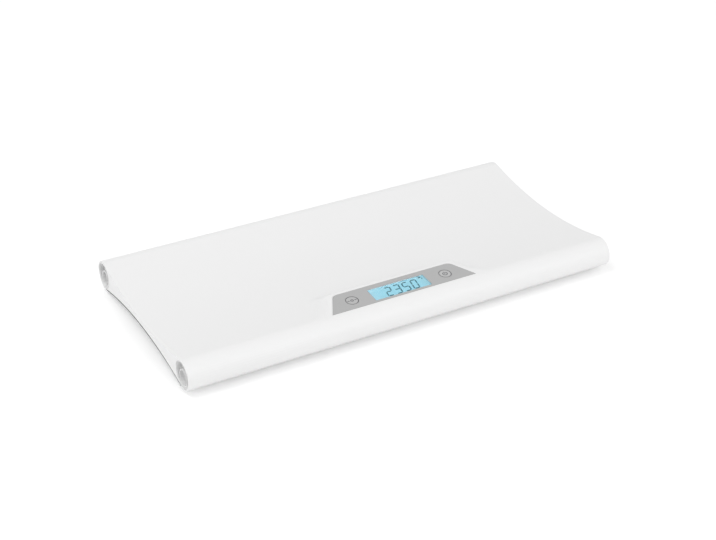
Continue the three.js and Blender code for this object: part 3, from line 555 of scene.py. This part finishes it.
@dataclass(frozen=True)
class Board(Finish):
    """Lacquered board with copper tracks, dark chips, pale sockets and bright screws."""

    name: str
    down: Triple
    underside: float
    chips: tuple[Point, ...]  # for each, its place along the board and half its width
    sockets: tuple[float, ...]  # their places along the board
    screws: float  # how far from the middle the two screws are
    socket_half: float = 4.6 * MM
    screw_half: float = 2.1 * MM
    lacquer: Colour = srgb(24, 92, 58)
    track: Colour = srgb(58, 128, 84)
    chip: Colour = srgb(26, 26, 29)
    socket: Colour = srgb(226, 224, 214)
    metal: Colour = srgb(190, 192, 196)
    track_scale: float = 240.0
    track_width: float = 0.07  # share of a cell of the pattern
    track_height: float = 0.02 * MM
    gloss_scale: float = 500.0
    roughness: float = 0.35
    uneven: float = 0.05

    @staticmethod
    def near(across: Value, place: float, half: float) -> Value:
        """1 where the distance along the board is within half a width of a place."""
        return abs(across - place) < half

    def paint(self, tree: Tree) -> None:
        """Adds the nodes of the finish.

        Args:
            tree: the material's tree, still empty.
        """
        across = tree.along(ACROSS)
        below = tree.along(self.down) > self.underside
        settings = {"feature": "DISTANCE_TO_EDGE", "distance": "MANHATTAN"}
        inputs = {"Vector": tree.place(), "Scale": self.track_scale}
        cells = tree.add("ShaderNodeTexVoronoi", settings, inputs)
        lines = Value(tree, cells.outputs["Distance"]) < self.track_width
        colour = tree.mix(lines, self.lacquer, self.track)
        parts = [(place, half, self.chip) for place, half in self.chips]
        parts += [(place, self.socket_half, self.socket) for place in self.sockets]
        for place, half, shade in parts:
            colour = tree.mix(below * self.near(across, place, half), colour, shade)
        bright = below * self.near(abs(across), self.screws, self.screw_half)
        tree.surface({
            "Base Color": tree.mix(bright, colour, self.metal),
            "Metallic": bright,
            "Roughness": tree.noise(self.gloss_scale).around(self.roughness, self.uneven),
            "Normal": tree.bump(lines, self.track_height),
        })


@dataclass(frozen=True)
class BatteryWrap(Finish):
    """Battery sleeve: a dark body with a coloured end, and bare metal at both ends."""

    name: str
    side: float  # 1 if the coloured end is on the right, -1 if it is on the left
    half: float = 21.6 * MM
    band: float = 9.0 * MM
    body: Colour = srgb(44, 52, 62)
    tip: Colour = srgb(196, 124, 52)
    metal: Colour = srgb(196, 198, 202)
    paler: float = 0.3
    scuff_scale: float = 220.0
    scuff_stretch: Triple = (0.3, 1.0, 1.0)
    roughness: float = 0.31
    uneven: float = 0.07

    def paint(self, tree: Tree) -> None:
        """Adds the nodes of the finish.

        Args:
            tree: the material's tree, still empty.
        """
        across = tree.along((self.side, 0.0, 0.0))
        scuffs = tree.noise(self.scuff_scale, detail=3.0, stretch=self.scuff_stretch)
        bare = abs(across) > self.half
        coloured = across > self.half - self.band
        sleeve = tree.mix(coloured, tree.varied(scuffs, self.body, 0.0, self.paler), self.tip)
        tree.surface({
            "Base Color": tree.mix(bare, sleeve, self.metal),
            "Metallic": bare,
            "Roughness": scuffs.around(self.roughness, self.uneven),
        })


@dataclass(frozen=True)
class StudioFloor(Finish):
    """Pale floor that keeps its shadow and is plain white to the camera further out."""

    name: str
    colour: Colour = (0.92, 0.92, 0.92)
    shades: float = 0.004
    speckle_scale: float = 14.0
    lift: float = 0.225  # light that only the camera, gloss and glass see
    near: float = 0.9  # where it starts to turn plain white
    far: float = 2.2  # where it is plain white

    def paint(self, tree: Tree) -> None:
        """Adds the nodes of the finish.

        Args:
            tree: the material's tree, still empty.
        """
        speckle = tree.noise(self.speckle_scale)
        floor = tree.add("ShaderNodeBsdfDiffuse", None, {
            "Color": tree.varied(speckle, self.colour, self.shades, self.shades),
        })
        seen = tree.seen()
        lift = {"Color": opaque(WHITE), "Strength": seen * self.lift}
        glow = tree.add("ShaderNodeEmission", None, lift)
        close = tree.add("ShaderNodeAddShader", None, {0: floor.outputs[0], 1: glow.outputs[0]})
        plain = tree.add("ShaderNodeEmission", None, {"Color": opaque(WHITE), "Strength": 1.0})
        reach = Value(tree, tree.vector("LENGTH", tree.place()).outputs["Value"])
        out = seen * reach.step(self.near, self.far)
        parts = {0: out, 1: close.outputs[0], 2: plain.outputs[0]}
        both = tree.add("ShaderNodeMixShader", None, parts)
        tree.add("ShaderNodeOutputMaterial", None, {"Surface": both.outputs[0]})


WHITE_SHELL = MouldedPlastic("white_shell", (0.86, 0.86, 0.86), roughness=0.36, uneven=0.04,
                             flow=0.006, flow_scale=7.0, grain=0.003 * MM, specular=0.36)
# White plastic made a little greyer than the shell: partly painted shade for the plugs deep in the
# rolls' mouths.
PLUG_SHADED_WHITE = MouldedPlastic("plug_grey", srgb(226, 226, 226), roughness=0.5, uneven=0.06,
                           flow=0.02, flow_scale=60.0)
PANEL_GREY = MouldedPlastic("panel_grey", srgb(177, 177, 177), roughness=0.42, uneven=0.05,
                            flow=0.015, flow_scale=40.0, grain=0.006 * MM, grain_scale=3200.0)
BUTTON_GREY = MouldedPlastic("button_grey", srgb(182, 182, 182), roughness=0.44, uneven=0.05,
                             flow=0.015, flow_scale=80.0, grain=0.006 * MM, grain_scale=3200.0)
INNER_WHITE = MouldedPlastic("inner_white", srgb(230, 230, 226), roughness=0.55, uneven=0.06,
                             flow=0.02, flow_scale=50.0)
# Near-black strip colour: painted shade in the end faces' parting grooves.
GROOVE_SHADE_GREY = MouldedPlastic("painted_groove_shade", srgb(54, 54, 56), roughness=0.7, uneven=0.05,
                           flow=0.05, flow_scale=150.0, specular=0.2)
SWITCH_BLACK = MouldedPlastic("switch_black", srgb(38, 38, 41), roughness=0.5, uneven=0.08,
                              flow=0.1, flow_scale=200.0)
CABLE_GREY = MouldedPlastic("cable_grey", srgb(208, 208, 204), roughness=0.5, uneven=0.08,
                            flow=0.03, flow_scale=120.0)
STRIP_PINK = MouldedPlastic("connector_strip", srgb(206, 160, 160), roughness=0.6, uneven=0.06,
                            flow=0.05, flow_scale=900.0)
SHEET_STEEL = BrushedSteel("sheet_steel")
SCREW_STEEL = BrushedSteel("screw_steel", stretch=(20.0, 20.0, 1.0), roughness=0.34)
SPRING_STEEL = BrushedSteel("spring_steel", srgb(206, 206, 204), stretch=(10.0, 10.0, 10.0),
                            roughness=0.26)
PRINT_GREY = Ink("print_grey", srgb(100, 100, 103))
PRINT_PALE = Ink("print_pale", srgb(192, 192, 192))
SEGMENT_TEAL = Ink("segment_teal", srgb(14, 100, 116), glow=0.2, specular=0.05)


def add_piece(name: str, data: bpy.types.Mesh, finish: Finish, body: str) -> None:
    """Makes a piece of a mesh, with its faces turned outwards, its finish and body.

    Args:
        name: the piece's name.
        data: its mesh in the row frame.
        finish: its finish.
        body: the body that it rides on.
    """
    shape = bmesh.new()
    shape.from_mesh(data)
    bmesh.ops.recalc_face_normals(shape, faces=shape.faces)
    shape.to_mesh(data)
    shape.free()
    piece = bpy.data.objects.new(name, data)
    bpy.context.scene.collection.objects.link(piece)
    data.materials.append(finish.material())
    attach(piece, body)
    log.info("piece %s rides on %s", name, body)


class Plates:
    """Thin flat shapes in one plane, joined into one piece."""

    def __init__(self, plane: Matrix, low: float, high: float) -> None:
        """Starts with no shapes.

        Args:
            plane: the plane's frame in the row frame.
            low: the level of the underside in that frame.
            high: the level of the face in that frame.
        """
        self.plane = plane
        self.low = low
        self.high = high
        self.mesh = bmesh.new()

    def polygon(self, points: Sequence[Point]) -> None:
        """Adds a prism of a polygon.

        Args:
            points: its corners, anticlockwise.
        """
        under = [self.mesh.verts.new((x, y, self.low)) for x, y in points]
        over = [self.mesh.verts.new((x, y, self.high)) for x, y in points]
        self.mesh.faces.new(list(reversed(under)))
        self.mesh.faces.new(over)
        for i in range(len(points)):
            j = (i + 1) % len(points)
            self.mesh.faces.new((under[i], under[j], over[j], over[i]))

    def ring(self, centre: Point, inner: float, outer: float,
             gap: float = 0.0, steps: int = 56) -> None:
        """Adds a ring, or an arc that is open at its top.

        Args:
            centre: its middle.
            inner: its inner radius.
            outer: its outer radius.
            gap: half the opening at its top, in radians.
            steps: its number of sides.
        """
        start = math.pi / 2 + gap
        sweep = TURN - 2 * gap
        count = steps if gap else steps - 1
        corners = ((inner, self.low), (outer, self.low), (outer, self.high), (inner, self.high))
        rows = []
        for i in range(count + 1):
            angle = start + sweep * i / steps
            x, y = math.cos(angle), math.sin(angle)
            rows.append([self.mesh.verts.new((centre[0] + radius * x, centre[1] + radius * y, z))
                         for radius, z in corners])
        pairs = list(zip(rows, rows[1:])) + ([] if gap else [(rows[-1], rows[0])])
        for first, second in pairs:
            for i in range(4):
                j = (i + 1) % 4
                self.mesh.faces.new((first[i], first[j], second[j], second[i]))
        if gap:
            self.mesh.faces.new(rows[0])
            self.mesh.faces.new(list(reversed(rows[-1])))

    def build(self, name: str, finish: Finish, body: str, slot: str) -> None:
        """Makes the piece.

        Args:
            name: its name.
            finish: its finish.
            body: the body that it rides on.
            slot: the record's material slot; not used.
        """
        self.mesh.transform(self.plane)
        data = bpy.data.meshes.new(name)
        self.mesh.to_mesh(data)
        self.mesh.free()
        add_piece(name, data, finish, body)


def dress(node: str, finish: Finish, sharp_deg: float = 32.0, even: bool = False) -> None:
    """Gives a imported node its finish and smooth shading.

    Args:
        node: the node's name.
        finish: its finish.
        sharp_deg: the angle above which an edge stays sharp.
        even: whether large faces lead the shading, which keeps long rolls free of streaks.
    """
    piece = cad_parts[node]
    piece.data.materials.clear()
    piece.data.materials.append(finish.material())
    piece.data.polygons.foreach_set("use_smooth", [True] * len(piece.data.polygons))
    piece.data.set_sharp_from_angle(angle=math.radians(sharp_deg))
    if even:
        weights = piece.modifiers.new("even_shading", "WEIGHTED_NORMAL")
        weights.keep_sharp = True
    log.info("node %s is %s", node, finish.name)


def dress_all(nodes: Iterable[str], finish: Finish) -> None:
    """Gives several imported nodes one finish."""
    for node in nodes:
        dress(node, finish)


class Digit(Enum):
    """Segments that are lit for a number.

    From a to g they are top, upper right, lower right, bottom, lower left, upper left and middle.
    """

    ZERO = "abcdef"
    TWO = "abged"
    THREE = "abgcd"
    FIVE = "afgcd"


@dataclass
class Display:
    """Window, lit glass and its numbers."""

    plane: Matrix
    glass_top: float = -3.6 * MM  # from the panel's face
    lift: float = 0.06 * MM  # from the glass to the numbers
    thickness: float = 0.08 * MM
    left: float = -19.4 * MM
    foot: float = -10.4 * MM
    height: float = 17.4 * MM
    width: float = 8.4 * MM
    pitch: float = 11.6 * MM  # from one number to the next
    stroke: float = 1.6 * MM
    gap: float = 0.22 * MM  # left free at both ends of a segment
    slant: float = 0.14
    shown: tuple[Digit, ...] = (Digit.TWO, Digit.THREE, Digit.FIVE, Digit.ZERO)
    mark: Point = (32.0 * MM, 7.0 * MM)
    mark_size: float = 1.1 * MM
    mark_shapes: tuple[tuple[Point, ...], ...] = (  # corners, in the mark's own size
        ((-2, -0.5), (1, -0.5), (2, 1), (-1, 1)),
        ((1, -3), (2, -3), (3, -1), (2, -1)),
    )

    def lean(self, x: float, y: float) -> Point:
        """A point of a digit, leant over."""
        return (x + (y - self.foot) * self.slant, y)

    def bar(self, start: Point, end: Point) -> list[Point]:
        """Outline of a segment with pointed ends.

        Args:
            start: where it starts.
            end: where it ends.

        Returns:
            Its six corners.
        """
        along = Vector(end) - Vector(start)
        unit = along.normalized()
        side = Vector((-unit.y, unit.x)) * (self.stroke / 2)
        tip = unit * (self.stroke / 2)
        first = Vector(start) + unit * self.gap
        last = Vector(end) - unit * self.gap
        corners = (first, first + tip - side, last - tip - side,
                   last, last - tip + side, first + tip + side)
        return [self.lean(*corner) for corner in corners]

    def segments(self, left: float) -> dict[str, tuple[Point, Point]]:
        """Middle line of each segment of a digit.

        Args:
            left: the digit's left side.

        Returns:
            Start and end of each segment, by its letter.
        """
        inset = self.stroke / 2
        low, high = self.foot + inset, self.foot + self.height - inset
        middle = (low + high) / 2
        near, far = left + inset, left + self.width - inset
        return {
            "a": ((near, high), (far, high)),
            "b": ((far, middle), (far, high)),
            "c": ((far, low), (far, middle)),
            "d": ((near, low), (far, low)),
            "e": ((near, low), (near, middle)),
            "f": ((near, middle), (near, high)),
            "g": ((near, middle), (far, middle)),
        }

    def plates(self) -> Plates:
        """An empty set of lit shapes just over the glass."""
        low = self.glass_top + self.lift
        return Plates(self.plane, low, low + self.thickness)

    def build(self) -> None:
        """Dresses the stack and makes the numbers and the mark beside them."""
        dress("display_window", ClearWindow("clear_window"))
        dress("display_cell", LitGlass("display_glass"))
        dress("backlight", LitDiffuser("diffuser"))
        dress("display_cradle", INNER_WHITE)
        dress("display_connector", STRIP_PINK)
        for i, digit in enumerate(self.shown):
            plates = self.plates()
            lines = self.segments(self.left + i * self.pitch)
            for letter in digit.value:
                plates.polygon(self.bar(*lines[letter]))
            plates.build(f"display_digit_{i + 1}", SEGMENT_TEAL, "housing", "display_glass")
        plates = self.plates()
        for shape in self.mark_shapes:
            plates.polygon([(self.mark[0] + x * self.mark_size, self.mark[1] + y * self.mark_size)
                            for x, y in shape])
        plates.build("display_mark", SEGMENT_TEAL, "housing", "display_glass")


@dataclass
class Buttons:
    """Power and zero buttons with their printed rings and signs, and their switches."""

    plane: Matrix
    x: float = 62.5 * MM
    y: float = -1.0 * MM
    print_height: float = 0.05 * MM
    ring_inner: float = 6.9 * MM
    ring_outer: float = 7.5 * MM
    halo_inner: float = 4.1 * MM
    halo_outer: float = 5.4 * MM
    sign_radius: float = 2.2 * MM
    line: float = 1.0 * MM
    zero_share: float = 0.45  # of the sign's radius
    arrow_reach: float = 3.4  # in widths of the line, as the next two are
    arrow_length: float = 1.6
    shaft_width: float = 0.7
    power_gap: float = 0.6  # half the opening, in radians
    power_steps: int = 36
    bar_rise: float = 0.8  # in radii of the sign, as the next is
    bar_length: float = 1.5

    def plates(self) -> Plates:
        """An empty set of prints on the caps' faces."""
        return Plates(self.plane, 0.0, self.print_height)

    def rectangle(self, x: float, y: float, width: float, height: float) -> list[Point]:
        """Corners of a rectangle about a point."""
        return [(x - width / 2, y - height / 2), (x + width / 2, y - height / 2),
                (x + width / 2, y + height / 2), (x - width / 2, y + height / 2)]

    def build(self) -> None:
        """Dresses the caps and switches and makes the prints."""
        for name, side in (("zero", -1), ("power", 1)):
            dress(f"button_{name}", BUTTON_GREY)
            dress(f"switch_{name}", SWITCH_BLACK)
            dress(f"switch_plunger_{name}", INNER_WHITE)
            ring = self.plates()
            ring.ring((side * self.x, self.y), self.ring_inner, self.ring_outer)
            ring.build(f"{name}_ring", PRINT_GREY, f"button_{name}", "button_grey")
        self.zero_sign()
        self.power_sign()

    def zero_sign(self) -> None:
        """Makes the zero between two arrowheads."""
        sign = self.plates()
        x, y = -self.x, self.y
        inner = self.sign_radius * self.zero_share
        sign.ring((x, y), inner, inner + self.line)
        for side in (-1, 1):
            base = x + side * (inner + self.arrow_reach * self.line)
            tip = base - side * self.arrow_length * self.line
            corners = [(base, y - self.line), (tip, y), (base, y + self.line)]
            sign.polygon(corners if side < 0 else corners[::-1])
            shaft = base + side * self.line
            sign.polygon(self.rectangle(shaft, y, 2 * self.line, self.shaft_width * self.line))
        sign.build("zero_sign", PRINT_GREY, "button_zero", "button_grey")

    def power_sign(self) -> None:
        """Makes the broken ring with its bar, and the pale ring round it."""
        x, y = self.x, self.y
        halo = self.plates()
        halo.ring((x, y), self.halo_inner, self.halo_outer)
        halo.build("power_halo", PRINT_PALE, "button_power", "button_grey")
        sign = self.plates()
        radius = self.sign_radius
        sign.ring((x, y), radius, radius + self.line, self.power_gap, self.power_steps)
        middle = y + radius * self.bar_rise
        sign.polygon(self.rectangle(x, middle, self.line, radius * self.bar_length))
        sign.build("power_sign", PRINT_GREY, "button_power", "button_grey")


@dataclass
class Console:
    """Grey panel with its display, buttons and board."""

    front: float = -114.0 * MM  # front edge of the panel's face
    depth: float = 33.0 * MM
    rise: float = 2.2 * MM  # how much higher its rear edge is
    height: float = 41.78 * MM  # of its middle
    board_under: float = -11.75 * MM  # underside of the board, from the face
    chips: tuple[Point, ...] = ((22 * MM, 6.1 * MM), (-24 * MM, 5.1 * MM), (0.0, 2.6 * MM))
    sockets: tuple[float, ...] = (-66 * MM, -38 * MM, 38 * MM, 66 * MM)
    screws: float = 48.5 * MM

    def plane(self) -> Matrix:
        """Works out where the panel's face is.

        Returns:
            The frame of the face, with its origin in the middle.
        """
        tilt = math.asin(self.rise / self.depth)
        middle = self.front + self.depth / 2 * math.cos(tilt)
        return Matrix.Translation((0.0, middle, self.height)) @ Matrix.Rotation(tilt, 4, "X")

    def build(self) -> None:
        """Dresses the panel and the board and builds what they carry."""
        plane = self.plane()
        dress("display_panel", PANEL_GREY)
        down = -(plane.to_3x3() @ Vector((0.0, 0.0, 1.0)))
        under = down.dot(plane @ Vector((0.0, 0.0, self.board_under)))
        board = Board("board", tuple(down), under, self.chips, self.sockets, self.screws)
        dress("circuit_board", board)
        Display(plane).build()
        Buttons(plane).build()


@dataclass
class EndShadeStrips:
    """Near-black strips that fill the parting grooves of both end faces and lap over their rims:
    painted shade for the dark line along each end's lower edge.
    """

    half_length: float = 280.0 * MM  # of the scale
    roll_y: float = 116.1 * MM  # where the rolls' middles are
    roll_radius: float = 18.4 * MM
    arch_rise: float = 13.8 * MM
    foot_gap: float = 4.0 * MM  # between the shells and the floor
    stem: Point = (0.62 * MM, 1.68 * MM)  # its lower and upper edge, above the arch
    stem_depth: float = 0.96 * MM
    lip: Point = (0.12 * MM, 1.74 * MM)  # the same for the lip, midway
    lip_end: float = 0.58 * MM  # the lip's lower edge at its ends
    lip_face: Point = (0.005 * MM, 0.02 * MM)  # how far its back and its face stand out
    taper: float = 0.7  # share of each half along which the lip narrows
    steps: int = 36

    def section(self) -> list[Triple]:
        """Lists the corners of the strip's section.

        Returns:
            For each corner its height above the arch midway, its height at the ends, and its depth.
        """
        low, high = self.stem
        under, over = self.lip
        back, face = self.lip_face
        return [(low, low, self.stem_depth), (high, high, self.stem_depth), (high, high, -back),
                (over, over, -back), (over, over, -face), (under, self.lip_end, -face),
                (under, self.lip_end, -back), (low, low, -back)]

    def line(self, x: float, midway: float, ends: float) -> list[Triple]:
        """Points of one long edge, from front to rear.

        Args:
            x: the place along the scale.
            midway: the height above the arch along most of its length.
            ends: the height above the arch at its ends.

        Returns:
            The points.
        """
        drop = self.roll_radius - self.arch_rise
        radius = (self.roll_y ** 2 + drop ** 2 - self.roll_radius ** 2) / (2 * self.arch_rise)
        centre = self.foot_gap + self.arch_rise - radius
        span = math.asin(self.roll_y / (radius + self.roll_radius))
        points = []
        for i in range(self.steps + 1):
            share = 2 * i / self.steps - 1
            near_end = max(0.0, (abs(share) - 1 + self.taper) / self.taper)
            reach = radius + midway + (ends - midway) * near_end
            angle = span * share
            points.append((x, reach * math.sin(angle), centre + reach * math.cos(angle)))
        return points

    def strip(self, name: str, side: int) -> None:
        """Makes one strip.

        Args:
            name: the piece's name.
            side: -1 at the left end, 1 at the right end.
        """
        section = self.section()
        points = [point for midway, ends, depth in section
                  for point in self.line(side * (self.half_length - depth), midway, ends)]
        starts = [k * (self.steps + 1) for k in range(len(section))]
        faces = [(starts[k] + i, starts[k] + i + 1, starts[k - 1] + i + 1, starts[k - 1] + i)
                 for k in range(len(section)) for i in range(self.steps)]
        faces += [tuple(starts), tuple(start + self.steps for start in reversed(starts))]
        data = bpy.data.meshes.new(name)
        data.from_pydata(points, [], faces)
        # The strip is painted shade: a near-black piece where the groove is only in shade.
        add_piece(name, data, GROOVE_SHADE_GREY, "housing")

    def build(self) -> None:
        """Makes both strips."""
        self.strip("end_shade_strip_left", -1)
        self.strip("end_shade_strip_right", 1)


@dataclass
class Shells:
    """Tray, base cover, battery door and end plugs."""

    finish: Finish = WHITE_SHELL
    screws: int = 8

    def build(self) -> None:
        """Dresses the shells."""
        EndShadeStrips().build()
        dress("tray", self.finish, even=True)
        dress("base_cover", self.finish, even=True)
        dress("battery_door", self.finish)
        dress_all((f"end_plug_{corner}" for corner in CORNERS), PLUG_SHADED_WHITE)
        dress_all((f"case_screw_{i + 1}" for i in range(self.screws)), SCREW_STEEL)


@dataclass
class LoadPath:
    """Feet, pads, load cells, holders and their cables."""

    foot_x: float = 228 * MM
    foot_y: float = 94 * MM

    def build(self) -> None:
        """Dresses the parts under each corner."""
        for corner in CORNERS:
            side = -1 if "left" in corner else 1
            row = -1 if "front" in corner else 1
            pad = MouldedRubber(f"rubber_{corner}", (side * self.foot_x, row * self.foot_y))
            dress(f"foot_{corner}", INNER_WHITE)
            dress(f"foot_pad_{corner}", pad)
            dress(f"load_cell_{corner}", SHEET_STEEL)
            dress(f"load_cell_holder_{corner}", INNER_WHITE)
            dress(f"cell_cable_{corner}", CABLE_GREY)


@dataclass
class PowerBay:
    """Batteries, contacts and leads."""

    count: int = 3

    def build(self) -> None:
        """Dresses the bay's contents."""
        for i in range(self.count):
            side = 1.0 if i % 2 == 0 else -1.0
            dress(f"battery_{i + 1}", BatteryWrap(f"battery_wrap_{i + 1}", side))
        contacts = ("positive", "link_left", "link_right", "negative")
        dress_all((f"battery_contact_{name}" for name in contacts), SPRING_STEEL)
        dress_all(("battery_lead_left", "battery_lead_right"), CABLE_GREY)


@dataclass(frozen=True)
class Lamp:
    """A soft lamp that points at a target."""

    name: str
    place: Triple
    width: float
    height: float
    power: float
    target: Triple = (0.0, 0.0, 0.0)
    mirrored: bool = True  # whether gloss shows it

    def build(self) -> None:
        """Adds the lamp."""
        data = bpy.data.lights.new(self.name, "AREA")
        data.shape = "RECTANGLE"
        data.size = self.width
        data.size_y = self.height
        data.energy = self.power
        lamp = bpy.data.objects.new(self.name, data)
        lamp.location = self.place
        aim = Vector(self.target) - Vector(self.place)
        lamp.rotation_mode = "QUATERNION"
        lamp.rotation_quaternion = aim.to_track_quat("-Z", "Y")
        lamp.visible_glossy = self.mirrored
        bpy.context.scene.collection.objects.link(lamp)


@dataclass
class StudioSet:
    """Floor, lamps, sky and camera."""

    floor_half: float = 6.0
    sky: float = 0.715  # strength on the object, where the camera sees 1
    lamps: tuple[Lamp, ...] = (
        Lamp("key", (-1.2, 0.2, 2.4), width=1.6, height=1.6, power=15.0),
        Lamp("front", (0.7, -2.6, 1.0), width=2.8, height=1.7, power=13.0, mirrored=False),
        Lamp("left", (-1.7, -0.3, 0.45), width=1.2, height=0.7, power=1.9,
             target=(-0.28, 0.0, 0.0)),
        Lamp("strip", (0.88, -1.53, 1.10), width=1.6, height=0.25, power=2.8,
             target=(0.88, 0.0, 0.03)),
    )
    camera_place: Triple = (-0.73220, -1.27853, 0.894385)
    yaw_deg: float = 30.141
    pitch_deg: float = 30.789
    roll_deg: float = 0.961
    lens_mm: float = 70.95
    sensor_mm: float = 36.0
    shift: Point = (-0.00888, -0.00391)
    clip: Point = (0.05, 50.0)

    def floor(self) -> None:
        """Makes the floor."""
        half = self.floor_half
        data = bpy.data.meshes.new("floor")
        corners = [(-half, -half, 0.0), (half, -half, 0.0), (half, half, 0.0), (-half, half, 0.0)]
        data.from_pydata(corners, [], [(0, 1, 2, 3)])
        ground = bpy.data.objects.new("floor", data)
        bpy.context.scene.collection.objects.link(ground)
        data.materials.append(StudioFloor("studio_floor").material())

    def backdrop(self) -> None:
        """Makes an even sky that the camera sees as white."""
        world = bpy.data.worlds.new("sky")
        bpy.context.scene.world = world
        tree = Tree(world)
        strength = tree.seen() * (1.0 - self.sky) + self.sky
        inputs = {"Color": opaque(WHITE), "Strength": strength}
        back = tree.add("ShaderNodeBackground", None, inputs)
        tree.add("ShaderNodeOutputWorld", None, {"Surface": back.outputs[0]})

    def camera(self) -> None:
        """Sets up the camera at the photograph's view."""
        yaw, pitch, roll = (math.radians(a) for a in (self.yaw_deg, self.pitch_deg, self.roll_deg))
        away = Vector((math.sin(yaw), math.cos(yaw), 0.0))
        ahead = away * math.cos(pitch) - Vector((0.0, 0.0, math.sin(pitch)))
        level = Vector((math.cos(yaw), -math.sin(yaw), 0.0))
        above = level.cross(ahead)
        right = level * math.cos(roll) + above * math.sin(roll)
        up = above * math.cos(roll) - level * math.sin(roll)
        data = bpy.data.cameras.new("camera")
        data.lens = self.lens_mm
        data.sensor_width = self.sensor_mm
        data.shift_x, data.shift_y = self.shift
        data.clip_start, data.clip_end = self.clip
        camera = bpy.data.objects.new("camera", data)
        turn = Matrix((right, up, -ahead)).transposed().to_4x4()
        camera.matrix_world = Matrix.Translation(self.camera_place) @ turn
        bpy.context.scene.collection.objects.link(camera)
        bpy.context.scene.camera = camera

    def build(self) -> None:
        """Builds the whole set."""
        self.camera()
        self.floor()
        self.backdrop()
        for lamp in self.lamps:
            lamp.build()
        bpy.context.scene.view_settings.view_transform = "Standard"


def main() -> None:
    """Builds the set and every sub-assembly."""
    for part in (StudioSet(), Shells(), Console(), LoadPath(), PowerBay()):
        part.build()


if __name__ == "__main__":
    main()
